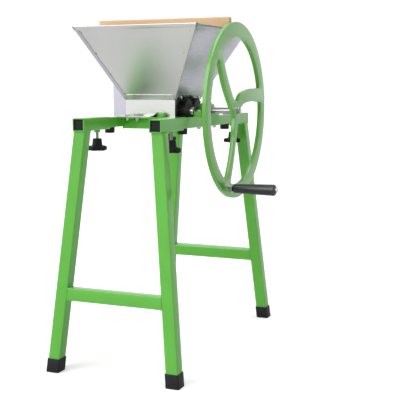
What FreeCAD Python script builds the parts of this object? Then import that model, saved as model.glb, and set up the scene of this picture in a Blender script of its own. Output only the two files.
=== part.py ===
"""Hand cranked apple scratter on a knock-down steel stand.

Millimetres, +Z up. The crank wheel is on the +X side and the tube ends with
the first pair of plugs face -Y. Shapes are drawn about the middle plane between
the two rails, and every node is moved at the end so that the origin lies on
the floor under the middle of the whole object.
"""
import FreeCAD
import Part
import math
import os

os.makedirs("parts", exist_ok=True)

# Stand: legs, sleeves, stretchers
tube = 30.0                 # outer width of the square leg, sleeve and stretcher tube
tube_wall = 1.5
tube_corner = 2.5           # outer corner radius of that tube
sleeve_top = 600.0          # height of the sleeves' top faces over the floor
sleeve_spacing = 195.0      # across the machine, sleeve centre to sleeve centre
stand_length = 600.0        # over the plugged outer ends of the sleeves
sleeve_length = 130.0
leg_setback = 7.0           # leg front face behind the sleeve's outer end
leg_offset = 1.5            # leg top centre outside the sleeve centre
leg_angle_x = 5.65          # sideways lean of the legs, degrees
leg_angle_y = 4.92          # endways lean of the legs, degrees
stretcher_height = 188.0    # centre line of the stretchers over the floor
cap_wall = 2.2              # rubber foot cap round the leg
cap_height = 33.0
cap_floor = 4.0
cap_fit = 0.1
plug_depth = 12.0
plug_recess = 2.5           # plug face behind the tube's end
plug_fit = 0.1

# Clamp knobs under the sleeves
knob_from_end = 90.0        # stud axis from the sleeve's outer end
stud_diameter = 8.0
nut_flats = 13.0
nut_height = 6.0
thread_clearance = 0.2
screw_diameter = 6.0        # guard, cap and bearing screws
screw_flats = 10.0
screw_head = 4.0
screw_nut = 5.0
screw_tip = 2.0             # thread past the nut
stud_free_length = 15.0     # bare stud between weld nut and knob hub
knob_hub_height = 17.0
knob_hub_diameter = 22.0
knob_diameter = 50.0
knob_height = 12.0
knob_lobes = 5
knob_lobe_depth = 7.5
knob_lobe_shoulder = 2.6    # lobe flanks meet the valleys this far inside the tips
stud_tip_gap = 0.1

# Rails and cross bars
rail_tube = 25.0
rail_wall = 2.0
rail_corner = 2.0
rail_length = 570.0
rail_fit = 0.1              # rail top under the sleeve's inner top face
angle_leg = 30.0
angle_thickness = 3.0
foot_diameter = 24.5        # rubber feet under the rails
foot_height = 14.0
foot_from_middle = 145.0

# Crusher housing
sheet = 2.0                 # housing plates
housing_left = -77.5
housing_right = 56.5
housing_front = -94.75
housing_depth = 160.0
housing_height = 52.6       # plates over the rails' tops
side_plate_drop = 26.4      # side plates below the rails' tops
flange_width = 27.0
bolt_inset = 37.0           # housing bolts from the left plate
bolt_head = 5.3
bolt_nut = 6.5
screw_inset = 10.0          # guard screws from the left plate
side_plate_taper = 22.0     # lower corners cut off the side plates
flange_start = -60.0        # left end of the front flange
flange_end = -5.0           # right end of its flat part
tongue_run = 22.0           # bent-up tongue at the flange's right end
tongue_rise = 9.5
lug_width = 18.0            # half-round lug that holds the tongue
lug_height = 12.0
lug_depth = 9.0
guard_sheet = 1.5
guard_left = -112.0
guard_tab_width = 36.0      # foot tabs of the guard on the cross bars
guard_tab_depth = 24.0
guard_tab_gap = 1.0         # foot tab clear of the housing flange
guard_skirt_gap = 1.0       # guard under the hopper skirt
guard_gap = 2.6             # guard's sloping edge under the hopper wall

# Hopper
hopper_sheet = 1.5
hopper_fit = 0.1
skirt_height = 9.5
fold_gap = 0.5              # fold over the plates' top edges
band_height = 9.5           # hem folded down outside along the rim
hopper_height = 166.0       # rim over the fold
rim_width = 331.0
rim_length = 350.0
rim_centre_x = -11.0
rim_centre_y = -12.0
hopper_flange = 10.0

# Shafts, bushes, cutter rollers
axis_rise = 14.1            # roller axis over the rails' tops
drive_y = 14.0
shaft_diameter = 16.0
running_fit = 0.05
bush_wall = 2.5
bush_flange = 3.0
bush_flange_wall = 6.5
bush_stand = 1.0            # bush end outside the side plate
shaft_overhang = 9.0        # left shaft ends outside the housing
driven_end = 86.5           # right end of the driven shaft
disc_radius = 35.5
disc_thickness = 5.0
disc_pitch = 13.0
disc_count = 10
disc_teeth = 8
tooth_depth = 7.5
tooth_lead = 11.0           # sweep of a tooth's steep face, degrees
disc_stagger = 14.0         # turn from each disc to the next, degrees
roller_gap = 1.5            # disc tips clear of the other core
roller_end_gap = 0.5        # roller clear of the bush flanges
tooth_drop = 0.8            # back of a tooth tip below its point
tooth_land = 7.0            # sweep of a tooth tip, degrees

# Gears
gear_module = 2.5
gear_teeth = 23
gear_width = 14.0
gear_side_gap = 2.0         # gears clear of the right side plate
gear_pressure = 20.0
gear_backlash = 0.16        # thinning of each tooth flank

# Outer bearing on the right rail
bearing_width = 20.0
bearing_base_length = 128.0
bearing_split = 2.0         # gap between base and cap, at the shaft axis
cap_half_length = 31.5
cap_rise = 16.5             # cap top over the shaft axis
cap_round = 8.0
bush_outer = 24.0
bearing_bolt_spread = 54.0  # bearing bolts each side of the shaft
cap_screw_spread = 21.0
cap_screw_seat = 3.0        # blind end of the cap screws over the rail
hopper_screw_diameter = 5.0
hopper_screw_flats = 8.0
hopper_screw_head = 3.0
hopper_screw_tip = 1.0      # screw end inside the plate
bolt_hole_fit = 0.25

# Flywheel and crank handle
wheel_clearance = 17.5      # wheel clear of the hopper rim
wheel_thickness = 10.0
wheel_radius = 219.2
window_radius = 187.5
hub_radius = 23.0
hub_shift = 6.0             # hub boundary off the axis, towards the upper spoke
hub_shift_angle = 165.0
window_corner = 6.0
hub_washer_diameter = 20.0
hub_washer_thickness = 2.0
hub_bolt_flats = 13.0
hub_bolt_head = 5.3
hub_bolt_diameter = 8.0
hub_bolt_length = 22.0
hub_thread_spare = 1.0
shaft_end_gap = 0.5
handle_radius = 199.1
handle_angle = -107.7       # place of the handle on the rim at rest, degrees
spindle_diameter = 10.0
spindle_back = 2.0          # spindle end behind the wheel
spindle_nut_flats = 17.0
spindle_nut_height = 9.5
grip_gap = 0.6
grip_length = 109.5
grip_inner_diameter = 22.0
grip_middle_diameter = 26.0
grip_outer_diameter = 28.5
grip_round = 4.0
grip_middle_share = 0.4     # place of the middle diameter along the grip
grip_bore_fit = 0.05
spindle_head_diameter = 12.0
spindle_head_height = 3.0

# Pusher bar lying across the hopper
bar_overhang = 14.5         # bar past the left rim
bar_end_gap = 2.5           # bar short of the wheel
bar_front = -20.0
bar_depth = 18.0
bar_height = 25.0
bar_edge = 1.5
bar_seat = 0.05

# Spokes: angle of the centre line in degrees and width, at each spoke radius
spoke_radii = (14.0, 44.0, 76.0, 115.0, 155.0, 193.5)
spokes = [
    ((168.0, 150.6, 143.0, 138.6, 134.4, 130.5), (28.0, 26.5, 25.0, 26.0, 26.0, 27.0)),
    ((72.0, 41.5, 27.8, 19.2, 13.8, 10.8), (28.0, 35.0, 33.0, 33.5, 34.5, 38.0)),
    ((-135.0, -109.5, -105.8, -106.3, -108.6, -110.8), (26.0, 23.5, 19.5, 19.5, 22.5, 29.0)),
]

# Derived places
sleeve_x = sleeve_spacing / 2.0
stand_end = stand_length / 2.0
sleeve_bottom = sleeve_top - tube
sleeve_centre_z = sleeve_top - tube / 2.0
tube_inner = tube - 2.0 * tube_wall
rail_top = sleeve_top - tube_wall - rail_fit
rail_bottom = rail_top - rail_tube
rail_inner_x = sleeve_x - rail_tube / 2.0
knob_y = stand_end - knob_from_end
leg_top_x = sleeve_x + leg_offset
leg_run_x = math.tan(math.radians(leg_angle_x))
leg_run_y = math.tan(math.radians(leg_angle_y))
leg_top_y = stand_end - leg_setback - tube / 2.0
housing_rear = housing_front + housing_depth
housing_top = rail_top + housing_height
side_plate_bottom = rail_top - side_plate_drop
fold_height = housing_top + fold_gap
rim_height = fold_height + hopper_height
band_bottom = rim_height - band_height
axis_height = rail_top + axis_rise
gear_pitch_diameter = gear_module * gear_teeth
driven_y = drive_y - gear_pitch_diameter
gear_inner_x = housing_right + gear_side_gap
shaft_left = housing_left - shaft_overhang
rim_right = rim_centre_x + rim_width / 2.0
wheel_back = rim_right + wheel_clearance
wheel_face = wheel_back + wheel_thickness
drive_end = wheel_face - shaft_end_gap
shaft_bore = shaft_diameter / 2.0 + running_fit
hopper_screw_hole = hopper_screw_diameter / 2.0 + bolt_hole_fit
bearing_x0 = sleeve_x - bearing_width / 2.0
bearing_x1 = sleeve_x + bearing_width / 2.0
base_top = axis_height - bearing_split / 2.0
cap_bottom = axis_height + bearing_split / 2.0
flange_top = rail_top + sheet
lug_x = flange_end + tongue_run + lug_width / 2.0
handle_y = drive_y + handle_radius * math.cos(math.radians(handle_angle))
handle_z = axis_height + handle_radius * math.sin(math.radians(handle_angle))
grip_start = wheel_face + spindle_nut_height + grip_gap
grip_end = grip_start + grip_length
bar_left = rim_centre_x - rim_width / 2.0 - bar_overhang
bar_length = wheel_back - bar_end_gap - bar_left
spindle_end = grip_end + grip_gap + spindle_head_height
move_x = -(bar_left + spindle_end) / 2.0

X = FreeCAD.Vector(1, 0, 0)
Y = FreeCAD.Vector(0, 1, 0)
Z = FreeCAD.Vector(0, 0, 1)


def vec(x, y, z):
    return FreeCAD.Vector(x, y, z)


def box(x0, x1, y0, y1, z0, z1):
    return Part.makeBox(x1 - x0, y1 - y0, z1 - z0, vec(x0, y0, z0))


def cylinder(radius, length, start, direction):
    return Part.makeCylinder(radius, length, start, direction)


def hexagon(flats, length, start, direction):
    """Hexagonal prism across flats, along Z or X."""
    corner = flats / 2.0 / math.cos(math.radians(30.0))
    points = []
    for i in range(7):
        a = math.radians(60.0 * i + 30.0)
        u = corner * math.cos(a)
        v = corner * math.sin(a)
        points.append(start + (vec(u, v, 0) if direction.z else vec(0, u, v)))
    return Part.Face(Part.makePolygon(points)).extrude(direction * length)


def fuse_all(shapes):
    whole = shapes[0]
    for shape in shapes[1:]:
        whole = whole.fuse(shape)
    return whole.removeSplitter()


def polygon_prism(points, direction):
    return Part.Face(Part.makePolygon(points + [points[0]])).extrude(direction)


def rounded_square(half, radius, place, u, v):
    """Closed wire of a square with rounded corners, in the plane of u and v."""
    edges = []
    k = radius * (1.0 - math.sqrt(0.5))
    corners = [(1, 1), (-1, 1), (-1, -1), (1, -1)]
    for i in range(4):
        a, b = corners[i]
        c, d = corners[(i + 1) % 4]
        # the corner arc runs from one side of corner i to the other
        if a == b:
            first = (a * half, b * (half - radius))
            last = (a * (half - radius), b * half)
        else:
            first = (a * (half - radius), b * half)
            last = (a * half, b * (half - radius))
        middle = (a * (half - k), b * (half - k))
        c_first = (c * (half - radius), d * half) if c != d else (c * half, d * (half - radius))
        start, mid, end, following = [place + u * p + v * q for p, q in (first, middle, last, c_first)]
        edges.append(Part.Arc(start, mid, end).toShape())
        edges.append(Part.LineSegment(end, following).toShape())
    return Part.Wire(edges)


def square_tube(width, wall, corner, place, u, v, path):
    """Square tube with its section in the plane of u and v, swept along path."""
    outer = Part.Face(rounded_square(width / 2.0, corner, place, u, v)).extrude(path)
    half = width / 2.0 - wall
    square = [place + u * (a * half) + v * (b * half) for a, b in ((1, 1), (-1, 1), (-1, -1), (1, -1))]
    return outer.cut(polygon_prism(square, path))


# Stand pieces. side is -1 on the left and 1 on the right; end is -1 at the
# front and 1 at the rear.

def leg_centre(side, end, z):
    drop = sleeve_bottom - z
    return vec(side * (leg_top_x + leg_run_x * drop), end * (leg_top_y + leg_run_y * drop), z)


def leg(side, end):
    top = leg_centre(side, end, sleeve_bottom)
    foot = leg_centre(side, end, cap_floor)
    return square_tube(tube, tube_wall, tube_corner, foot, X, Y, top - foot)


def foot_cap(side, end):
    ground = leg_centre(side, end, 0.0)
    top = leg_centre(side, end, cap_height)
    seat = leg_centre(side, end, cap_floor)
    half = tube / 2.0 + cap_fit
    outer = rounded_square(half + cap_wall, tube_corner + cap_wall, ground, X, Y)
    pocket = rounded_square(half, tube_corner, seat, X, Y)
    return Part.Face(outer).extrude(top - ground).cut(Part.Face(pocket).extrude(top - seat))


def stretcher(end):
    """Tube welded between two legs, its face flush with the leaning legs."""
    middle = leg_centre(1, end, stretcher_height)
    reach = middle.x + tube
    lean = leg_angle_y * end
    bar = square_tube(tube, tube_wall, tube_corner, vec(-reach, 0, 0), Y, Z, X * (2.0 * reach))
    bar.rotate(vec(0, 0, 0), X, lean)
    bar.translate(vec(0, middle.y, middle.z))
    low = stretcher_height - tube
    high = stretcher_height + tube
    x_low = leg_centre(1, end, low).x - tube / 2.0
    x_high = leg_centre(1, end, high).x - tube / 2.0
    y0 = middle.y - tube
    between = [vec(-x_low, y0, low), vec(x_low, y0, low), vec(x_high, y0, high), vec(-x_high, y0, high)]
    return bar.common(polygon_prism(between, Y * (2.0 * tube)))


def sleeve(side, end):
    """Sleeve on the leg's top, with the clamp's weld nut under it."""
    inner_end = stand_end - sleeve_length
    start = vec(side * sleeve_x, end * inner_end, sleeve_centre_z)
    body = square_tube(tube, tube_wall, tube_corner, start, X, Z, Y * (end * sleeve_length))
    under = vec(side * sleeve_x, end * knob_y, sleeve_bottom - nut_height)
    nut = hexagon(nut_flats, nut_height, under, Z)
    bore = cylinder(stud_diameter / 2.0 + thread_clearance, nut_height + 2.0 * tube_wall, under, Z)
    return body.fuse(nut).cut(bore)


def sleeve_plug(side, end):
    half = tube_inner / 2.0 - plug_fit
    x = side * sleeve_x
    y0, y1 = sorted((end * (stand_end - plug_recess), end * (stand_end - plug_recess - plug_depth)))
    return box(x - half, x + half, y0, y1, sleeve_centre_z - half, sleeve_centre_z + half)


def knob_levels():
    hub_top = sleeve_bottom - nut_height - stud_free_length
    head_top = hub_top - knob_hub_height
    return hub_top, head_top, head_top - knob_height


def clamp_knob(side, end):
    """Moulded knob: plain hub over a star of rounded lobes."""
    hub_top, head_top, bottom = knob_levels()
    x = side * sleeve_x
    y = end * knob_y
    edges = []
    step = 2.0 * math.pi / knob_lobes
    crest = knob_diameter / 2.0
    valley = crest - knob_lobe_depth
    shoulder = crest - knob_lobe_shoulder

    def at(radius, angle):
        return vec(x + radius * math.cos(angle), y + radius * math.sin(angle), bottom)

    for i in range(knob_lobes):
        a = (i + 0.25) * step
        start = at(shoulder, a - step / 5)
        flank = at(shoulder, a + step / 5)
        end_point = at(shoulder, a + 4 * step / 5)
        edges.append(Part.Arc(start, at(crest, a), flank).toShape())
        edges.append(Part.Arc(flank, at(valley, a + step / 2), end_point).toShape())
    head = Part.Face(Part.Wire(edges)).extrude(Z * knob_height)
    base = vec(x, y, head_top)
    hub = cylinder(knob_hub_diameter / 2.0, knob_hub_height, base, Z)
    bore = cylinder(stud_diameter / 2.0, knob_hub_height, base, Z)
    return head.fuse(hub).cut(bore)


def clamp_stud(side, end):
    """Threaded stud moulded into the knob; its tip presses the rail from below."""
    start = vec(side * sleeve_x, end * knob_y, knob_levels()[1])
    return cylinder(stud_diameter / 2.0, rail_bottom - stud_tip_gap - start.z, start, Z)


# Rails and cross bars

def bearing_bolt_ys():
    return (drive_y - bearing_bolt_spread, drive_y + bearing_bolt_spread)


def rail(side):
    start = vec(side * sleeve_x, -rail_length / 2.0, rail_top - rail_tube / 2.0)
    body = square_tube(rail_tube, rail_wall, rail_corner, start, X, Z, Y * rail_length)
    if side > 0:
        for y in bearing_bolt_ys():
            hole = cylinder(screw_diameter / 2.0 + bolt_hole_fit, rail_tube, vec(sleeve_x, y, rail_bottom), Z)
            body = body.cut(hole)
    return body


def bolt_places(end):
    """Housing bolt and guard screw on one cross bar."""
    edge = housing_front if end < 0 else housing_rear
    y = edge + end * flange_width / 2.0
    return vec(housing_left + bolt_inset, y, 0), vec(housing_left + screw_inset, y, 0)


def crossbar(end):
    """Angle iron: upright leg behind the housing plate's line, flat leg outward."""
    edge = housing_front if end < 0 else housing_rear
    out = end * angle_leg
    thick = end * angle_thickness
    low = rail_top - angle_leg
    profile = [
        vec(-rail_inner_x, edge, rail_top),
        vec(-rail_inner_x, edge + out, rail_top),
        vec(-rail_inner_x, edge + out, rail_top - angle_thickness),
        vec(-rail_inner_x, edge + thick, rail_top - angle_thickness),
        vec(-rail_inner_x, edge + thick, low),
        vec(-rail_inner_x, edge, low),
    ]
    bar = polygon_prism(profile, X * (2.0 * rail_inner_x))
    if end < 0:
        bar = bar.fuse(lug())
    bolt, screw = bolt_places(end)
    for place, diameter in ((bolt, stud_diameter), (screw, screw_diameter)):
        hole = cylinder(diameter / 2.0 + bolt_hole_fit, angle_leg, vec(place.x, place.y, low), Z)
        bar = bar.cut(hole)
    return bar


def lug():
    """Half-round lug welded on the front cross bar."""
    r = lug_width / 2.0
    y = housing_front - flange_width / 2.0 - lug_depth / 2.0
    spring = rail_top + lug_height - r
    a = vec(lug_x - r, y, rail_top)
    b = vec(lug_x - r, y, spring)
    c = vec(lug_x + r, y, spring)
    d = vec(lug_x + r, y, rail_top)
    top = vec(lug_x, y, spring + r)
    outline = Part.Wire([
        Part.LineSegment(a, b).toShape(),
        Part.Arc(b, top, c).toShape(),
        Part.LineSegment(c, d).toShape(),
        Part.LineSegment(d, a).toShape(),
    ])
    return Part.Face(outline).extrude(Y * lug_depth)


def rail_feet():
    feet = []
    for side in (-1, 1):
        for end in (-1, 1):
            start = vec(side * sleeve_x, end * foot_from_middle, rail_bottom - foot_height)
            feet.append(cylinder(foot_diameter / 2.0, foot_height, start, Z))
    return feet


# Housing

def tongue():
    """Strip at the flange's right end, bent up in an arc."""
    radius = (tongue_run ** 2 + tongue_rise ** 2) / (2.0 * tongue_rise)
    sweep = math.asin(tongue_run / radius)
    y = housing_front - flange_width

    def at(r, turn):
        return vec(flange_end + r * math.sin(turn), y, flange_top + radius - r * math.cos(turn))

    under = radius + sheet
    lower = Part.Arc(at(under, 0), at(under, sweep / 2), at(under, sweep)).toShape()
    upper = Part.Arc(at(radius, sweep), at(radius, sweep / 2), at(radius, 0)).toShape()
    tip = Part.LineSegment(at(under, sweep), at(radius, sweep)).toShape()
    root = Part.LineSegment(at(radius, 0), at(under, 0)).toShape()
    strip = Part.Face(Part.Wire([lower, tip, upper, root])).extrude(Y * flange_width)
    clear = box(lug_x - lug_width / 2.0, lug_x + lug_width, y, housing_front, rail_top, rim_height)
    return strip.cut(clear)


def housing_end(end):
    """Front or rear plate with its flange on the cross bar."""
    edge = housing_front if end < 0 else housing_rear
    y0, y1 = sorted((edge, edge - end * sheet))
    plate = box(housing_left, housing_right, y0, y1, rail_top, housing_top)
    f0, f1 = sorted((edge, edge + end * flange_width))
    if end < 0:
        flange = box(flange_start, flange_end, f0, f1, rail_top, flange_top)
        whole = fuse_all([plate, flange, tongue()])
    else:
        whole = fuse_all([plate, box(flange_start, housing_right, f0, f1, rail_top, flange_top)])
    bolt = bolt_places(end)[0]
    bore = stud_diameter / 2.0 + bolt_hole_fit
    return whole.cut(cylinder(bore, angle_leg, bolt + Z * (rail_top - sheet), Z))


def shaft_ys():
    return (driven_y, drive_y)


def housing_side(side):
    """Side plate that carries the roller bushes and reaches down between the rails."""
    x0, x1 = (housing_left, housing_left + sheet) if side < 0 else (housing_right - sheet, housing_right)
    y0 = housing_front + sheet
    y1 = housing_rear - sheet
    plate = box(x0, x1, y0, y1, rail_top, housing_top)
    lower = [
        vec(x0, y0 + sheet, rail_top),
        vec(x0, y0 + side_plate_taper, side_plate_bottom),
        vec(x0, y1 - side_plate_taper, side_plate_bottom),
        vec(x0, y1 - sheet, rail_top),
    ]
    plate = fuse_all([plate, polygon_prism(lower, X * sheet)])
    for y in shaft_ys():
        radius = shaft_diameter / 2.0 + bush_wall
        plate = plate.cut(cylinder(radius, sheet, vec(x0, y, axis_height), X))
    for y in hopper_screw_ys():
        plate = plate.cut(cylinder(hopper_screw_hole, sheet, vec(x0, y, hopper_screw_z()), X))
    return plate


def roller_bushes():
    """Four flanged bushes, flange inside the housing."""
    bushes = []
    outer = shaft_diameter / 2.0 + bush_wall
    for side in (-1, 1):
        face = housing_left + sheet if side < 0 else housing_right - sheet
        outward = vec(side, 0, 0)
        for y in shaft_ys():
            start = vec(face - side * bush_flange, y, axis_height)
            flange = cylinder(outer + bush_flange_wall - bush_wall, bush_flange, start, outward)
            barrel = cylinder(outer, bush_flange + sheet + bush_stand, start, outward)
            bore = cylinder(shaft_bore, bush_flange + sheet + bush_stand, start, outward)
            bushes.append(flange.fuse(barrel).cut(bore))
    return bushes


def bearing_guard():
    """Folded sheet over the left shaft ends, standing on the left rail."""
    slope = (rim_height - fold_height) / (hopper_rect(fold_height)[0] - hopper_rect(rim_height)[0])
    top = fold_height + (housing_left - guard_left) * slope - guard_gap * 2.0
    under_skirt = fold_height - skirt_height - guard_skirt_gap
    inner = housing_left - hopper_sheet - hopper_fit - guard_gap
    outline = [
        vec(guard_left, housing_front, rail_top),
        vec(housing_left, housing_front, rail_top),
        vec(housing_left, housing_front, under_skirt),
        vec(inner, housing_front, under_skirt),
        vec(guard_left, housing_front, top),
    ]
    solid = polygon_prism(outline, Y * housing_depth)
    for end in (-1, 1):
        edge = housing_front if end < 0 else housing_rear
        y0, y1 = sorted((edge, edge + end * guard_tab_depth))
        tab_right = flange_start - guard_tab_gap
        tab = box(flange_start - guard_tab_width, tab_right, y0, y1, rail_top, rail_top + guard_sheet)
        screw = bolt_places(end)[1]
        hole = cylinder(screw_diameter / 2.0 + bolt_hole_fit, angle_leg, screw + Z * (rail_top - sheet), Z)
        solid = solid.fuse(tab.cut(hole))
    room = [
        vec(guard_left + guard_sheet, housing_front + guard_sheet, rail_top),
        vec(housing_left, housing_front + guard_sheet, rail_top),
        vec(housing_left, housing_front + guard_sheet, top),
        vec(guard_left + guard_sheet, housing_front + guard_sheet, top),
    ]
    return solid.cut(polygon_prism(room, Y * (housing_depth - 2.0 * guard_sheet))).removeSplitter()


def hex_bolt(place, head_z, grip, diameter, flats, head, nut):
    """Bolt with its head on head_z and its nut tight under the clamped pieces."""
    start = vec(place.x, place.y, head_z)
    shank_length = head / 2.0 + grip + nut + screw_tip
    shank = cylinder(diameter / 2.0, shank_length, start + Z * (head / 2.0), -Z)
    return fuse_all([hexagon(flats, head, start, Z), shank, hexagon(flats, nut, start - Z * grip, -Z)])


def housing_bolts():
    bolts = []
    for end in (-1, 1):
        place = bolt_places(end)[0]
        grip = sheet + angle_thickness
        bolts.append(hex_bolt(place, flange_top, grip, stud_diameter, nut_flats, bolt_head, bolt_nut))
    return bolts


def guard_screws():
    screws = []
    for end in (-1, 1):
        place = bolt_places(end)[1]
        head_z = rail_top + guard_sheet
        grip = guard_sheet + angle_thickness
        screws.append(hex_bolt(place, head_z, grip, screw_diameter, screw_flats, screw_head, screw_nut))
    return screws


# Hopper

def hopper_rect(z):
    """Outer faces of the hopper walls at height z: left, right, front, rear."""
    stand_off = hopper_fit + hopper_sheet
    low = (
        housing_left - stand_off,
        housing_right + stand_off,
        housing_front - stand_off,
        housing_rear + stand_off,
    )
    high = (
        rim_centre_x - rim_width / 2.0 + hopper_sheet,
        rim_centre_x + rim_width / 2.0 - hopper_sheet,
        rim_centre_y - rim_length / 2.0 + hopper_sheet,
        rim_centre_y + rim_length / 2.0 - hopper_sheet,
    )
    share = max((z - fold_height) / (rim_height - fold_height), 0.0)
    return [a + (b - a) * share for a, b in zip(low, high)]


def ruled_block(low_rect, low_z, high_rect, high_z):
    """Six-sided solid between a rectangle at low_z and one at high_z."""
    levels = []
    for (x0, x1, y0, y1), z in ((low_rect, low_z), (high_rect, high_z)):
        levels.append([vec(x0, y0, z), vec(x1, y0, z), vec(x1, y1, z), vec(x0, y1, z)])
    low, high = levels
    faces = [low, high] + [[low[i], low[(i + 1) % 4], high[(i + 1) % 4], high[i]] for i in range(4)]
    shell = Part.Shell([Part.Face(Part.makePolygon(points + [points[0]])) for points in faces])
    solid = Part.Solid(shell)
    if solid.Volume < 0:
        solid.reverse()
    return solid


def slope_sheet():
    """Horizontal thickness of the sloping sheet."""
    run = hopper_rect(fold_height)[0] - hopper_rect(rim_height)[0]
    return hopper_sheet / math.cos(math.atan(run / (rim_height - fold_height)))


def hopper_end(end):
    """Front or rear wall between the side walls, with its skirt and the hem along its rim."""
    thick = slope_sheet()

    def rect(z, t, out=0.0):
        left, right, front, rear = hopper_rect(z)
        edge = front if end < 0 else rear
        y0, y1 = sorted((edge + end * out, edge + end * (out - t)))
        return (left + thick + out, right - thick - out, y0, y1)

    skirt_z = fold_height - skirt_height
    skirt = ruled_block(rect(skirt_z, hopper_sheet), skirt_z, rect(fold_height, hopper_sheet), fold_height)
    wall = ruled_block(rect(fold_height, hopper_sheet), fold_height, rect(rim_height, thick), rim_height)
    low, high = [rect(z, thick, thick) for z in (band_bottom, rim_height)]
    strip = ruled_block(low, band_bottom, high, rim_height)
    return fuse_all([skirt, wall, strip])


def hopper_side(side):
    """Side wall with its skirt, the hem along its rim and a folded flange along each
    sloping edge: outside the neighbouring wall at one corner and inside at the other."""
    thick = slope_sheet()

    def across(z, near, far, y0, y1):
        left, right = hopper_rect(z)[:2]
        x0, x1 = (left + near, left + far) if side < 0 else (right - far, right - near)
        return (x0, x1, y0, y1)

    def wall(z, t):
        front, rear = hopper_rect(z)[2:]
        return across(z, 0.0, t, front, rear)

    def flange(z, end):
        front, rear = hopper_rect(z)[2:]
        edge = front if end < 0 else rear
        outside = side * end > 0
        near, far = (0.0, thick) if outside else (-2.0 * thick, -thick)
        y0, y1 = sorted((edge + end * near, edge + end * far))
        return across(z, 0.0, hopper_flange, y0, y1)

    def strip(z):
        front, rear = hopper_rect(z)[2:]
        return across(z, -thick, 0.0, front + 2.0 * thick, rear - 2.0 * thick)

    skirt_z = fold_height - skirt_height
    pieces = [
        ruled_block(wall(skirt_z, hopper_sheet), skirt_z, wall(fold_height, hopper_sheet), fold_height),
        ruled_block(wall(fold_height, hopper_sheet), fold_height, wall(rim_height, thick), rim_height),
        ruled_block(strip(band_bottom), band_bottom, strip(rim_height), rim_height),
    ]
    for end in (-1, 1):
        outside = side * end > 0
        low = fold_height if outside else fold_height + 2.0 * hopper_sheet
        high = band_bottom if outside else rim_height - 2.0 * hopper_sheet
        pieces.append(ruled_block(flange(low, end), low, flange(high, end), high))
    whole = fuse_all(pieces)
    for y in hopper_screw_ys():
        x0 = housing_left - 3.0 * sheet if side < 0 else housing_right
        whole = whole.cut(cylinder(hopper_screw_hole, 3.0 * sheet, vec(x0, y, hopper_screw_z()), X))
    return whole


def hopper_screw_ys():
    middle = (driven_y + drive_y) / 2.0
    spread = gear_pitch_diameter
    return (middle - spread, middle + spread)


def hopper_screw_z():
    return fold_height - skirt_height / 2.0


def hopper_screws():
    """Screws through the skirt and the side plates."""
    screws = []
    for side in (-1, 1):
        face = hopper_rect(fold_height)[0 if side < 0 else 1]
        inner = housing_left + sheet if side < 0 else housing_right - sheet
        for y in hopper_screw_ys():
            start = vec(face, y, hopper_screw_z())
            head = hexagon(hopper_screw_flats, hopper_screw_head, start, vec(side, 0, 0))
            shank_length = abs(face - inner) + hopper_screw_tip
            shank = cylinder(hopper_screw_diameter / 2.0, shank_length, start, vec(-side, 0, 0))
            screws.append(head.fuse(shank))
    return screws


# Shafts, rollers and gears

def drive_shaft():
    body = cylinder(shaft_diameter / 2.0, drive_end - shaft_left, vec(shaft_left, drive_y, axis_height), X)
    thread = hub_bolt_length - shaft_end_gap + hub_thread_spare
    hole = cylinder(hub_bolt_diameter / 2.0, thread, vec(drive_end - thread, drive_y, axis_height), X)
    return body.cut(hole)


def driven_shaft():
    return cylinder(shaft_diameter / 2.0, driven_end - shaft_left, vec(shaft_left, driven_y, axis_height), X)


def toothed_disc(x, y, hand, turn):
    """Cutter disc with hooked teeth; hand sets which way the hooks point."""
    points = []
    step = 360.0 / disc_teeth
    for i in range(disc_teeth):
        a = turn + hand * i * step
        for radius, offset in (
            (disc_radius - tooth_depth, 0.0),
            (disc_radius, tooth_lead),
            (disc_radius - tooth_drop, tooth_lead + tooth_land),
        ):
            angle = math.radians(a + hand * offset)
            points.append(vec(x, y + radius * math.cos(angle), axis_height + radius * math.sin(angle)))
    return polygon_prism(points, X * disc_thickness)


def cutter_roller(y, count, shift, hand):
    """Toothed discs on a hexagonal core; the two rollers' discs pass between each other."""
    start = housing_left + sheet + bush_flange + roller_end_gap
    stop = housing_right - sheet - bush_flange - roller_end_gap
    core_radius = gear_pitch_diameter - disc_radius - roller_gap
    whole = hexagon(core_radius * math.sqrt(3.0), stop - start, vec(start, y, axis_height), X)
    first = (start + stop) / 2.0 - disc_pitch * (disc_count - 1) / 2.0 - disc_thickness / 2.0
    for i in range(count):
        x = first + shift + i * disc_pitch
        whole = whole.fuse(toothed_disc(x, y, hand, hand * disc_stagger * i))
    return whole.cut(cylinder(shaft_bore, stop - start, vec(start, y, axis_height), X))


def involute(base_radius, radius):
    """Polar angle of the involute at a radius."""
    t = math.sqrt(max((radius / base_radius) ** 2 - 1.0, 0.0))
    return t - math.atan(t)


def spur_gear(y, phase):
    """Involute spur gear, flanks drawn through four points each."""
    pitch_radius = gear_pitch_diameter / 2.0
    base_radius = pitch_radius * math.cos(math.radians(gear_pressure))
    tip_radius = pitch_radius + gear_module
    root_radius = pitch_radius - 1.25 * gear_module
    half_tooth = math.pi / (2.0 * gear_teeth) - gear_backlash / pitch_radius
    at_pitch = half_tooth + involute(base_radius, pitch_radius)
    radii = [base_radius + (tip_radius - base_radius) * k / 3.0 for k in range(4)]
    flank = [(root_radius, at_pitch)] + [(r, at_pitch - involute(base_radius, r)) for r in radii]
    points = []
    for i in range(gear_teeth):
        centre = phase + 2.0 * math.pi * i / gear_teeth
        for r, a in [(r, centre - a) for r, a in flank] + [(r, centre + a) for r, a in reversed(flank)]:
            points.append(vec(gear_inner_x, y + r * math.cos(a), axis_height + r * math.sin(a)))
    disc = polygon_prism(points, X * gear_width)
    return disc.cut(cylinder(shaft_bore, gear_width, vec(gear_inner_x, y, axis_height), X))


# Outer bearing

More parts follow.
